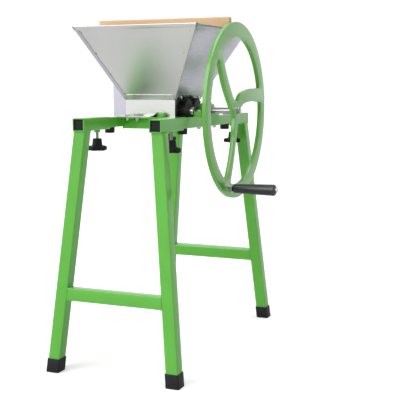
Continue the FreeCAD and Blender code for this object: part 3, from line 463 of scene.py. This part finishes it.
def softened(points, radius, steps=4):
    """Closed outline in mm whose corners give way to curves: (1-s)^2 A + 2s(1-s) C
    + s^2 B, with A and B on both sides of corner C by the radius times tan(turn/2)."""
    points = np.asarray(points, float)
    back, ahead = np.roll(points, 1, 0) - points, np.roll(points, -1, 0) - points
    back /= np.linalg.norm(back, axis=1)[:, None]
    ahead /= np.linalg.norm(ahead, axis=1)[:, None]
    turn = np.arccos(np.clip(-(back * ahead).sum(1), -1, 1))
    reach = (np.broadcast_to(radius, len(points)) * np.tan(turn / 2))[:, None]
    s = np.linspace(0, 1, steps + 1)[:, None, None]
    first, last = points + back * reach, points + ahead * reach
    curve = (1 - s) ** 2 * first + 2 * s * (1 - s) * points + s ** 2 * last
    outline = curve.transpose(1, 0, 2).reshape(-1, 2)
    return outline[np.linalg.norm(np.roll(outline, -1, 0) - outline, axis=1) > 1e-4]


def cut_plate(loops, place, u, v, w, thickness, edge=0.3, steps=2):
    """Grids and faces of a plate with outlines in mm along u and v, thick along w.
    Each outline draws in towards the solid by the edge radius at both faces, on a
    quarter circle; the first loop is the outside and the others are openings."""
    turn = np.linspace(0, math.pi / 2, steps + 1)
    inset = edge * (1 - np.sin(turn))
    depth = edge * (1 - np.cos(turn))
    inset, depth = np.concatenate([inset, inset[::-1]]), np.concatenate([depth, thickness - depth[::-1]])
    grids, rims = [], []
    for k, loop in enumerate(loops):
        x, y = loop.T
        area = (x * np.roll(y, -1) - y * np.roll(x, -1)).sum()
        loop = loop if (area > 0) == (k == 0) else loop[::-1]
        step = np.roll(loop, -1, 0) - loop
        normal = np.stack([-step[:, 1], step[:, 0]], 1) / np.linalg.norm(step, axis=1)[:, None]
        before = np.roll(normal, 1, 0)
        inward = (normal + before) / (1 + (normal * before).sum(1))[:, None]
        rows = loop + inset[:, None, None] * inward
        rims.append(rows[0])
        points = place + (rows[..., :1] * u + rows[..., 1:] * v + depth[:, None, None] * w) / 1000
        grids.append(np.concatenate([points, points[:, :1]], 1))
    flat = [[Vector((a, b, 0)) for a, b in rim.tolist()] for rim in rims]
    triangles = np.array(tessellate_polygon(flat))
    rim = np.concatenate(rims)
    levels = [place + (rim[:, :1] * u + rim[:, 1:] * v + level * w) / 1000 for level in (0, thickness)]
    return grids, [(level, triangles) for level in levels]


for end, end_name in ENDS:
    edge = HOUSING_FRONT if end < 0 else HOUSING_REAR
    out, thick = edge + end * ANGLE_LEG, edge + end * ANGLE_THICK
    under, bottom = RAIL_TOP - ANGLE_THICK, RAIL_TOP - ANGLE_LEG
    section = [(edge, RAIL_TOP), (out, RAIL_TOP), (out, under), (thick, under), (thick, bottom),
               (edge, bottom)]
    outline = softened(section, ANGLE_RADII)
    reach = SLEEVE_X - RAIL / 2
    grids, faces = cut_plate([outline], mm(-reach, 0, 0), ALONG_Y, ALONG_Z, ALONG_X, 2 * reach, 0.3)
    ring = np.concatenate([outline, outline[:1]])
    for side in (-1, 1):
        joint = carried(ring, mm(side * (reach - 0.3), 0, 0), ALONG_Y, ALONG_Z)
        grids.append(weld_bead(joint, side * ALONG_X, 1.2))
    if end < 0:
        arch = np.linspace(0, math.pi, 17)
        round_top = np.stack([LUG_X + LUG_RADIUS * np.cos(arch),
                              RAIL_TOP + LUG_SHOULDER + LUG_RADIUS * np.sin(arch)], 1)
        lug = np.concatenate([[(LUG_X - LUG_RADIUS, RAIL_TOP), (LUG_X + LUG_RADIUS, RAIL_TOP)], round_top])
        place = mm(0, LUG_FRONT, 0)
        lug_grids, lug_faces = cut_plate([lug], place, ALONG_X, ALONG_Z, ALONG_Y, LUG_DEPTH, edge=0.8)
        grids, faces = grids + lug_grids, faces + lug_faces
    iron_bar = mesh_piece(f"crossbar_iron_{end_name}", grids, faces)
    dress(iron_bar, enamel, replaces=[f"crossbar_{end_name}"])


# ---- Housing and bearing guard --------------------------------------------
# Laser cut 2 mm stainless plates bolted to the cross bars; a folded cover of
# thinner sheet hides the shaft ends on the left.

def stainless(name, stretch, tone, rough):
    """Rolled stainless sheet: long fine scratches along one way over a slow, cloudy sheen."""
    material, surface, tree, place = shader(name, tone, 1.0, rough)
    lines = noise(tree, place, 260.0, stretch, detail=6.0, roughness=0.6)
    cloud = noise(tree, place, 6.0, detail=3.0)
    colours(tree, surface, cloud, [(0.3, shaded(tone, 0.93)), (0.7, shaded(tone, 1.05))])
    roughness(tree, surface, lines, rough - 0.06, rough + 0.07)
    waves = noise(tree, place, 5.0, detail=1.0)
    relief(tree, surface, (waves, 0.05, 0.004), (lines, 0.05, 0.0002))
    return material


def repaint(names, material):
    """Puts a material on CAD nodes that keep their shape."""
    for name in names:
        slots = nodes[name].data.materials
        slots.clear()
        slots.append(material)


# Two copies of the one stainless, their tones set apart for light. The across copy, on front and rear faces,
# is a lighter neutral grey as for lit faces. The along copy, on the side faces, is darker and lavender:
# painted shade and a painted reflection. Only the direction of the scratches differs for real.
sheet_x_painted_light = stainless("stainless_sheet_across_painted_light", (0.03, 1, 1), (0.635, 0.635, 0.622), 0.30)
sheet_y_painted_shade = stainless("stainless_sheet_along_painted_shade", (1, 0.03, 1), (0.520, 0.512, 0.580), 0.28)
repaint(["housing_front", "housing_rear"], sheet_x_painted_light)
repaint(["housing_left", "housing_right", "bearing_guard"], sheet_y_painted_shade)


# ---- Hopper ---------------------------------------------------------------
# Four 1.5 mm stainless panels, hemmed along the rim and spot welded at the
# corners through 10 mm flanges; strips of sheet at the foot seat them.

RIM, FOLD, HEM, FLANGE = 817.5, 640.5, 9.5, 10
THICK = 1.74    # about 1.5 mm of sheet, measured level across the slope
HEM_RADIUS, HEM_SLIT, SLIT_DEPTH = THICK * 0.98, 0.9, 5
SEAT, SEAT_SHEET = 12, 1.3
SEAT_INSETS = (1.5, 9)    # how far in the strip's ends lie, at its foot and at its top
LOW = np.array([(-79.1, -96.35), (58.1, 66.85)])    # wall faces at the fold: left and front, right and rear
HIGH = np.array([(-175, -185.5), (153, 161.5)])    # the same at the rim
SPOT_RADIUS, SPOT_INSET = 2.4, 13
SEAT_SPOTS_X = (-55, -11, 33)


def wall_at(z, side, k):
    """Outer face of a hopper wall in mm at height z: k 0 for left and right, 1 for front and rear."""
    share = np.clip((np.asarray(z, float) - FOLD) / (RIM - FOLD), 0, None)
    row = 0 if side < 0 else 1
    return LOW[row, k] + (HIGH[row, k] - LOW[row, k]) * share


def panel_section():
    """Closed section of a hopper wall, (distance out of the wall's face, height)
    in mm: up the inside, round the hem's half circle, down outside to the hem's
    edge, up the slit behind it and back down the outer face."""
    bend = np.linspace(math.pi, 0, 13)
    hem = np.stack([HEM_RADIUS * np.cos(bend), RIM - HEM_RADIUS + HEM_RADIUS * np.sin(bend)], 1)
    edge = RIM - HEM
    points = [(-THICK, FOLD)] + hem.tolist()
    points += [(HEM_RADIUS, edge + 0.4), (HEM_RADIUS * 0.8, edge), (HEM_SLIT, edge),
               (HEM_SLIT - 0.1, edge + SLIT_DEPTH)]
    points += [(0, edge + SLIT_DEPTH), (0, FOLD), (-THICK, FOLD)]
    return np.array(points)


def panel(side, k, reach):
    """Grid of a wall: the section carried from one corner to the other; reach is
    how far past the neighbouring wall's face each end runs. Both ends are open."""
    section = panel_section()
    out, z = section[:, 0], section[:, 1]
    across = wall_at(z, side, k) + side * out
    near, far = [wall_at(z, corner, 1 - k) + corner * reach for corner in (-1, 1)]
    rows = [near, near * 0.5 + far * 0.5, far]
    grid = np.stack([np.stack([along, across, z] if k else [across, along, z], 1) for along in rows])
    grid[..., 0] += MIDDLE * 1000
    return grid / 1000


def closed_strip(rows):
    """Grid of a strip between two rings of four corners, with both ends closed to their centres."""
    rows = np.array(rows)
    centres = rows[:, :4].mean(1, keepdims=True).repeat(5, 1)
    return np.stack([centres[0], rows[0], rows[1], centres[1]])


def corner_flange(side, end, near, far, z0, z1):
    """Flange of a side wall along its neighbour's face: four corners at its foot and at its top."""
    rows = []
    for z in (z0, z1):
        x0 = wall_at(z, side, 0)
        x1 = x0 - side * FLANGE
        y0, y1 = [wall_at(z, end, 1) + end * out for out in (near, far)]
        rows.append([mm(x, y, z) for x, y in ((x0, y0), (x1, y0), (x1, y1), (x0, y1), (x0, y0))])
    return closed_strip(rows)


def seat_strip(side, k):
    """Strip 12 mm high that lies on a wall's foot, as if folded out of the housing's
    top; its ends slope in, so that a slit shows at each corner."""
    levels = [(FOLD, SEAT_INSETS[0], (0.02, SEAT_SHEET)),
              (FOLD + SEAT, SEAT_INSETS[1], (SEAT_SHEET, 0.02))]
    rows = []
    for corner in (-1, 1):
        section = []
        for z, inset, outs in levels:
            along = wall_at(z, corner, 1 - k) - corner * inset
            section += [(along, wall_at(z, side, k) + side * out, z) for out in outs]
        rows.append([mm(a, b, z) if k else mm(b, a, z) for a, b, z in section + section[:1]])
    return closed_strip(rows)


def spot_mark(place, normal):
    """Shallow ring 0.25 mm high with a dimple, turned round the panel's normal."""
    radii = [SPOT_RADIUS, SPOT_RADIUS * 0.9, SPOT_RADIUS * 0.55, SPOT_RADIUS * 0.4, TINY]
    return turned(place, normal, [0, 0.25, 0.25, 0.1, 0.18], radii, steps=20)


def wall_normal(side, k):
    """Outward direction of a wall: level across it, and down by its slope."""
    row = 0 if side < 0 else 1
    slope = abs(HIGH[row, k] - LOW[row, k]) / (RIM - FOLD)
    return np.array([0, side, -slope] if k else [side, 0, -slope]) / math.hypot(1, slope)


# Side walls take the darker lavender stainless copy, painted shade and a painted reflection; front and rear
# walls take the lighter copy, painted light.
for side, side_name in SIDES:
    grids = [panel(side, 0, -0.1), seat_strip(side, 0)]
    for end in (-1, 1):
        if side * end > 0:
            grids.append(corner_flange(side, end, 0.05, THICK, FOLD, RIM - HEM))
        else:
            grids.append(corner_flange(side, end, -2 * THICK, -THICK, FOLD + 3, RIM - 3))
    wall = mesh_piece(f"hopper_panel_{side_name}", grids)
    dress(wall, sheet_y_painted_shade, replaces=[f"hopper_{side_name}"])
for end, end_name in ENDS:
    wall = mesh_piece(f"hopper_panel_{end_name}", [panel(end, 1, -THICK), seat_strip(end, 1)])
    dress(wall, sheet_x_painted_light, replaces=[f"hopper_{end_name}"])

tint, surface, tree, place = shader("weld_tint", (0.30, 0.22, 0.11), 1.0, 0.35)
colours(tree, surface, noise(tree, place, 300.0), [(0.3, (0.16, 0.11, 0.06)), (0.7, (0.42, 0.31, 0.14))])
marks = []
for end in (-1, 1):
    for side in (-1, 1):
        outside = side * end > 0
        lift, inset = (THICK, FLANGE) if outside else (0, SPOT_INSET)
        for z in np.linspace(FOLD + SEAT, RIM - 16, 4):
            place = mm(wall_at(z, side, 0) - side * inset, wall_at(z, end, 1) + end * lift, z)
            marks.append(spot_mark(place, wall_normal(end, 1)))
    z = FOLD + SEAT * 0.8
    for x in SEAT_SPOTS_X:
        place = mm(x, wall_at(z, end, 1) + end * SEAT_SHEET, z)
        marks.append(spot_mark(place, wall_normal(end, 1)))
dress(mesh_piece("hopper_weld_spots", marks), tint)


# ---- Fasteners ------------------------------------------------------------
# Zinc plated bolts and nuts hold the plates, the guard and the bearing; small
# screws pin the hopper's side walls to the housing.

SCREW_YS, SCREW_Z = (-72.25, 42.75), 646.75
SCREW_FLATS, SCREW_HEAD, SCREW_RADIUS, SCREW_LENGTH = 8, 3, 2.5, 8


def hex_head(place, axis, flats, height):
    """Bolt head: flat below, its corners taken off by a cone at the top."""
    corner, face = flats * HEX_CORNER, flats * HEX_FACE
    cut = (corner - face) * HEX_CONE
    return turned(place, axis, [0, 0, height - cut, height, height],
                  six_flats([TINY, corner, corner, face, TINY], flats))


repaint(["housing_bolts", "guard_screws", "bearing_bolts", "cap_screws"], zinc)
screws = []
for side in (-1, 1):
    face = wall_at(SCREW_Z, side, 0)
    for y in SCREW_YS:
        head_place = mm(face + side * SEAT_SHEET, y, SCREW_Z)
        screws.append(hex_head(head_place, wall_normal(side, 0), SCREW_FLATS, SCREW_HEAD))
        screws.append(turned(mm(face, y, SCREW_Z), -side * ALONG_X, [0, 0, SCREW_LENGTH, SCREW_LENGTH],
                             [TINY, SCREW_RADIUS, SCREW_RADIUS, TINY]))
dress(mesh_piece("hopper_screw_set", screws), zinc, replaces=["hopper_screws"])


# ---- Shafts, rollers and gears --------------------------------------------
# Turned steel shafts in white bushes carry the stainless toothed rollers; a
# pair of black spur gears couples them outside the right plate.

def machined(name, tone, rough, stretch=(1, 0.02, 0.02)):
    """Turned steel: fine tool marks that follow the turning."""
    material, surface, tree, place = shader(name, tone, 1.0, rough)
    marks = noise(tree, place, 900.0, stretch, detail=4.0)
    colours(tree, surface, noise(tree, place, 20.0), [(0.3, shaded(tone, 0.85)), (0.7, tone)])
    roughness(tree, surface, marks, rough - 0.07, rough + 0.08)
    relief(tree, surface, (marks, 0.08, 0.0002))
    return material


bright = machined("turned_steel", (0.46, 0.46, 0.455), 0.20)
iron = black_moulding("black_iron", (0.010, 0.010, 0.011), 0.42, 0.25)
polymer, surface, tree, place = shader("white_polymer", (0.80, 0.80, 0.78), 0.0, 0.45)
colours(tree, surface, noise(tree, place, 50.0), [(0.3, (0.76, 0.76, 0.73)), (0.7, (0.84, 0.84, 0.82))])
repaint(["drive_shaft", "drive_roller", "driven_roller"], bright)
SHAFT_RADIUS, COLLAR_RADIUS, COLLAR_LENGTH = 8.0, 9.3, 13.5
low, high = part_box("driven_shaft")
length = (high.x - low.x) * 1000
collar = length - COLLAR_LENGTH
along = [0, 0, 0.8, collar, collar, length - 1, length, length]
radii = [TINY, SHAFT_RADIUS - 0.8, SHAFT_RADIUS, SHAFT_RADIUS, COLLAR_RADIUS, COLLAR_RADIUS,
         COLLAR_RADIUS - 0.9, TINY]
rod = turned(np.array([low.x, (low.y + high.y) / 2, (low.z + high.z) / 2]), ALONG_X, along, radii)
dress(mesh_piece("driven_shaft_turned", [rod]), bright, "driven_line", ["driven_shaft"])
repaint(["drive_gear", "driven_gear"], iron)
repaint(["roller_bushes"], polymer)


# ---- Outer bearing --------------------------------------------------------
# A split block in green enamel with a bronze bush: the base is bolted to the
# right rail and the cap is screwed down over the drive shaft.

AXIS_Z, DRIVE_Y = 612.5, 14
BEARING_LEFT, BEARING_WIDTH, BUSH_RADIUS, HALF_GAP = 87.5, 20, 12, 1
BASE_FRONT, BASE_REAR = -50, 78
CAP_FRONT, CAP_REAR, CAP_TOP, CAP_ROUND, CAP_SHOULDER = -17.5, 45.5, 629, 8, 2.3
arc = np.linspace(0, math.pi, 25)
bore = BUSH_RADIUS * np.stack([np.cos(arc), np.sin(arc)], 1)
below = bore * (1, -1) + (DRIVE_Y, AXIS_Z - HALF_GAP)
above = bore[::-1] + (DRIVE_Y, AXIS_Z + HALF_GAP)
base_outline = np.concatenate([
    [(BASE_FRONT, RAIL_TOP), (BASE_REAR, RAIL_TOP), (BASE_REAR, AXIS_Z - HALF_GAP)], below,
    [(BASE_FRONT, AXIS_Z - HALF_GAP)]])
cap_outline = np.concatenate([
    [(CAP_REAR, AXIS_Z + HALF_GAP), (CAP_REAR, CAP_TOP - CAP_ROUND),
     (CAP_REAR - CAP_SHOULDER, CAP_TOP - CAP_SHOULDER), (CAP_REAR - CAP_ROUND, CAP_TOP),
     (CAP_FRONT + CAP_ROUND, CAP_TOP), (CAP_FRONT + CAP_SHOULDER, CAP_TOP - CAP_SHOULDER),
     (CAP_FRONT, CAP_TOP - CAP_ROUND), (CAP_FRONT, AXIS_Z + HALF_GAP)], above])
for name, outline in (("bearing_base", base_outline), ("bearing_cap", cap_outline)):
    place = mm(BEARING_LEFT, 0, 0)
    grids, faces = cut_plate([outline], place, ALONG_Y, ALONG_Z, ALONG_X, BEARING_WIDTH, edge=0.6)
    dress(mesh_piece(f"{name}_block", grids, faces), enamel, replaces=[name])
bronze, surface, tree, place = shader("bronze", (0.50, 0.33, 0.16), 1.0, 0.35)
colours(tree, surface, noise(tree, place, 90.0), [(0.3, (0.42, 0.27, 0.12)), (0.7, (0.55, 0.37, 0.18))])
repaint(["bearing_bush"], bronze)


# ---- Crank wheel ----------------------------------------------------------
# Laser cut 10 mm steel plate in green enamel: a flat rim, three bowed spokes
# and an offset hub, with every cut edge slightly rounded.

WHEEL_BACK, WHEEL_THICK, WHEEL_RADIUS = 172, 10, 219.2
WINDOW_RADII, WINDOW_CORNERS = (185, 182.5, 187.5), (6, 6, 10)
HUB_RADIUS, HUB_SHIFT, HUB_SHIFT_ANGLE = 23, 6, 165
SHAFT_BORE, SPINDLE_BORE, WHEEL_EDGE = 8.2, 5.2, 0.9
SPOKE_RADII = np.array([14, 44, 76, 115, 155, 193.5])
# each spoke's angles in degrees and widths in mm at those radii
SPOKES = [((168, 153, 144.6, 139.6, 135, 130.8), (28, 28.5, 28.5, 29.5, 29, 28.5)),
          ((68, 41.5, 28.0, 19.6, 14.2, 11.2), (25, 33, 33.5, 35, 36.5, 40)),
          ((-135, -109.5, -105.8, -106.3, -108.6, -110.8), (26, 23.5, 19.5, 19.5, 22.5, 29))]
HANDLE_RADIUS, HANDLE_ANGLE = 199.1, -107.7


def polar(radius, degrees):
    """Point at a radius and an angle round the wheel's centre."""
    return radius * np.array([math.cos(math.radians(degrees)), math.sin(math.radians(degrees))])


def smooth_through(points, steps=12):
    """Curve through points: on each stretch a cubic between its ends, with the slope
    at each point drawn from its neighbours (Catmull-Rom)."""
    padded = np.concatenate([2 * points[:1] - points[1:2], points, 2 * points[-1:] - points[-2:-1]])
    a, b, c, d = padded[:-3, None], padded[1:-2, None], padded[2:-1, None], padded[3:, None]
    t = np.linspace(0, 1, steps, endpoint=False)[:, None]
    bend, twist = 2 * a - 5 * b + 4 * c - d, 3 * b - a - 3 * c + d
    curve = 0.5 * (2 * b + (c - a) * t + bend * t ** 2 + twist * t ** 3)
    return np.concatenate([curve.reshape(-1, 2), points[-1:]])


def spoke_edge(spoke, hand, window_radius):
    """One edge of a spoke round the wheel's centre, from hub circle to window circle."""
    angles, widths = np.radians(spoke[0]), np.array(spoke[1])
    around = angles + hand * np.arcsin(widths / 2 / SPOKE_RADII)
    curve = smooth_through(SPOKE_RADII[:, None] * np.stack([np.cos(around), np.sin(around)], 1))
    past_hub = np.linalg.norm(curve - hub, axis=1) > HUB_RADIUS
    before_rim = np.linalg.norm(curve, axis=1) < window_radius - 0.5
    curve = curve[past_hub & before_rim]
    first = hub + (curve[0] - hub) * HUB_RADIUS / np.linalg.norm(curve[0] - hub)
    last = curve[-1] * window_radius / np.linalg.norm(curve[-1])
    return np.concatenate([[first], curve, [last]])


def arc_between(start, stop, centre, turn):
    """Arc round a centre from one point to another, the way of turn (1 is anticlockwise)."""
    a0, a1 = [math.atan2(*(p - centre)[::-1]) for p in (start, stop)]
    span = (a1 - a0) * turn % (2 * math.pi)
    angle = a0 + turn * np.linspace(0, span, max(int(span * 40), 6))
    radius = np.linalg.norm(start - centre)
    return centre + radius * np.stack([np.cos(angle), np.sin(angle)], 1)


def rounded_corners(sides, radius):
    """Joins the sides of a window: at a corner C of angle w both sides give up
    radius / tan(w/2), as under a fillet, and the curve (1-s)^2 A + 2s(1-s) C +
    s^2 B rounds the corner between them."""
    reaches = []
    for line, following in zip(sides, sides[1:] + sides[:1]):
        away = []
        for side in (line, following):
            offset = side - line[-1]
            away.append(offset[np.argmin(abs(np.linalg.norm(offset, axis=1) - 3 * radius))])
        cosine = away[0] @ away[1] / np.linalg.norm(away[0]) / np.linalg.norm(away[1])
        reaches.append(radius / math.tan(math.acos(cosine) / 2))
    trimmed = []
    for line, first, last in zip(sides, reaches[-1:] + reaches[:-1], reaches):
        lengths = lengths_along(line)
        along = np.linspace(first, lengths[-1] - last, max(int(lengths[-1] / 2.5), 6))
        trimmed.append(np.stack([np.interp(along, lengths, line[:, k]) for k in (0, 1)], 1))
    s = np.linspace(0, 1, 9)[1:-1, None]
    outline = []
    for line, own, following in zip(sides, trimmed, trimmed[1:] + trimmed[:1]):
        corner = line[-1]
        outline += [own, (1 - s) ** 2 * own[-1] + 2 * s * (1 - s) * corner + s ** 2 * following[0]]
    return np.concatenate(outline)


hub = polar(HUB_SHIFT, HUB_SHIFT_ANGLE)
around = np.linspace(0, 2 * math.pi, 241)[:-1]
circle = np.stack([np.cos(around), np.sin(around)], 1)
ordered = sorted(SPOKES, key=lambda spoke: spoke[0][-1])
loops = [WHEEL_RADIUS * circle]
neighbours = ordered[1:] + ordered[:1]
for spoke, following, window_radius, corner in zip(ordered, neighbours, WINDOW_RADII, WINDOW_CORNERS):
    up, down = spoke_edge(spoke, 1, window_radius), spoke_edge(following, -1, window_radius)
    rim_arc = arc_between(up[-1], down[-1], np.zeros(2), 1)
    hub_arc = arc_between(down[0], up[0], hub, -1)
    loops.append(rounded_corners([up, rim_arc, down[::-1], hub_arc], corner))
handle = polar(HANDLE_RADIUS, HANDLE_ANGLE)
loops += [SHAFT_BORE * circle[::8], handle + SPINDLE_BORE * circle[::8]]
wheel_enamel = green_enamel("wheel_enamel", (0.125, 0.450, 0.050))
centre = mm(WHEEL_BACK, DRIVE_Y, AXIS_Z)
grids, faces = cut_plate(loops, centre, ALONG_Y, ALONG_Z, ALONG_X, WHEEL_THICK, WHEEL_EDGE, steps=3)
dress(mesh_piece("flywheel_plate", grids, faces), wheel_enamel, "drive_line", ["flywheel"])
repaint(["hub_washer", "hub_bolt"], zinc)


# ---- Crank handle ---------------------------------------------------------
# A black moulded grip, fuller towards its end, spins on a steel spindle that
# a nut clamps in the rim.

GRIP_START, GRIP_LENGTH, GRIP_BORE, GRIP_ROUND = 192.1, 109.5, 5.25, 4
GRIP_RADII = [11.0, 13.0, 14.25]    # at its start, at 0.4 of its length and at its end
HANDLE_Y, HANDLE_Z = DRIVE_Y + handle[0], AXIS_Z + handle[1]
share = np.linspace(0, 1, 33)
body = np.interp(share, [0, 0.4, 1], GRIP_RADII) - 0.25 * np.sin(share * math.pi)
from_end = np.minimum(share, 1 - share) * GRIP_LENGTH
end_round = GRIP_ROUND * (1 - np.sqrt(1 - np.clip(1 - from_end / GRIP_ROUND, 0, 1) ** 2))
along = np.concatenate([[0], share * GRIP_LENGTH, [GRIP_LENGTH, 0]])
radii = np.concatenate([[GRIP_BORE], np.maximum(body - end_round * 0.9, 6), [GRIP_BORE, GRIP_BORE]])
grip_black = black_moulding("grip_black", (0.010, 0.011, 0.014), 0.27, 0.10)
grip_black.node_tree.nodes["Principled BSDF"].inputs["Specular IOR Level"].default_value = 0.6
moulding = turned(mm(GRIP_START, HANDLE_Y, HANDLE_Z), ALONG_X, along, radii)
grip = mesh_piece("handle_grip_moulding", [moulding])
dress(grip, grip_black, "grip", ["handle_grip"])
repaint(["handle_spindle", "handle_nut"], zinc)


# ---- Pusher bar -----------------------------------------------------------
# A plain planed beech bar with softened edges. It lies loose across the
# hopper's rim, to push the load down with.

wood, surface, tree, place = shader("beech", (0.90, 0.62, 0.38), 0.0, 0.50)
grain = noise(tree, place, 55.0, (0.05, 1, 1), detail=8.0)
pores = noise(tree, place, 700.0, (0.04, 1, 1), detail=3.0)
colours(tree, surface, grain,
        [(0.25, (0.80, 0.47, 0.24)), (0.55, (0.92, 0.62, 0.36)), (0.8, (0.95, 0.70, 0.45))])
roughness(tree, surface, pores, 0.42, 0.60)
relief(tree, surface, (grain, 0.12, 0.0006), (pores, 0.20, 0.0003))
low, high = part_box("pusher_bar")
size = (high - low) * 1000
section = rounded_square(0.5, 0.08) * np.array([size.y, size.z])
left_end = [(0, TINY), (0, 0.88), (0.4, 0.95), (1.5, 1.0)]    # distance from the end, share of the section
levels = left_end + [(size.x - x, scale) for x, scale in left_end[::-1]]
start = np.array([low.x, (low.y + high.y) / 2, (low.z + high.z) / 2])
bar = np.stack([carried(section * scale, start + x / 1000 * ALONG_X, ALONG_Y, ALONG_Z)
                for x, scale in levels])
dress(mesh_piece("pusher_bar_planed", [bar]), wood, "pusher", ["pusher_bar"])


# ---- Studio ---------------------------------------------------------------
# White paper to the horizon under soft light from the front left and above.
# Reflections meet a white room that adds little to the diffuse light, and the
# paper looks a little brighter to the camera than it lights the stand.

FLOOR_HALF = 40.0
floor_mesh = bpy.data.meshes.new("floor")
floor_corners = [(x * FLOOR_HALF, y * FLOOR_HALF, 0) for x, y in ((-1, -1), (1, -1), (1, 1), (-1, 1))]
floor_mesh.from_pydata(floor_corners, [], [(0, 1, 2, 3)])
floor = bpy.data.objects.new("floor", floor_mesh)
bpy.context.scene.collection.objects.link(floor)
paper, surface, tree, place = shader("white_paper", (0.88, 0.88, 0.88), 0.0, 0.9, Emission_Color=(1, 1, 1, 1))
seen = tree.nodes.new("ShaderNodeLightPath")
fill = tree.nodes.new("ShaderNodeMapRange")
fill.inputs["To Max"].default_value = 0.4
tree.links.new(seen.outputs["Is Camera Ray"], fill.inputs["Value"])
tree.links.new(fill.outputs["Result"], surface.inputs["Emission Strength"])
floor_mesh.materials.append(paper)

world = bpy.data.worlds.new("studio")
world.use_nodes = True
bpy.context.scene.world = world
tree = world.node_tree
background = tree.nodes["Background"]
background.inputs["Color"].default_value = (1, 1, 1, 1)
path = tree.nodes.new("ShaderNodeLightPath")
mix = tree.nodes.new("ShaderNodeMix")
mix.inputs["A"].default_value = 1.05
mix.inputs["B"].default_value = 0.05
tree.links.new(path.outputs["Is Diffuse Ray"], mix.inputs["Factor"])
tree.links.new(mix.outputs["Result"], background.inputs["Strength"])


def wide_sun(name, towards, strength, spread):
    """Sun lamp shining from a direction, its disc spread in degrees for soft shadows."""
    light = bpy.data.lights.new(name, "SUN")
    light.energy = strength
    light.angle = math.radians(spread)
    lamp = bpy.data.objects.new(name, light)
    bpy.context.scene.collection.objects.link(lamp)
    lamp.rotation_euler = Vector(towards).to_track_quat("Z", "Y").to_euler()
    return lamp


wide_sun("key_sun", (-0.35, -0.75, 0.56), 1.85, 50)
wide_sun("top_sun", (0.05, 0.10, 1.0), 1.9, 60)

camera = bpy.data.cameras.new("camera")
camera.sensor_fit = "HORIZONTAL"
camera.sensor_width = 36
camera.lens = 77.61
viewer = bpy.data.objects.new("camera", camera)
viewer.location = (0.8516, -2.0439, 0.6707)
viewer.rotation_euler = (math.radians(90 - 7.44), 0, math.radians(21.96))
bpy.context.scene.collection.objects.link(viewer)
bpy.context.scene.camera = viewer
bpy.context.scene.view_settings.view_transform = "Standard"
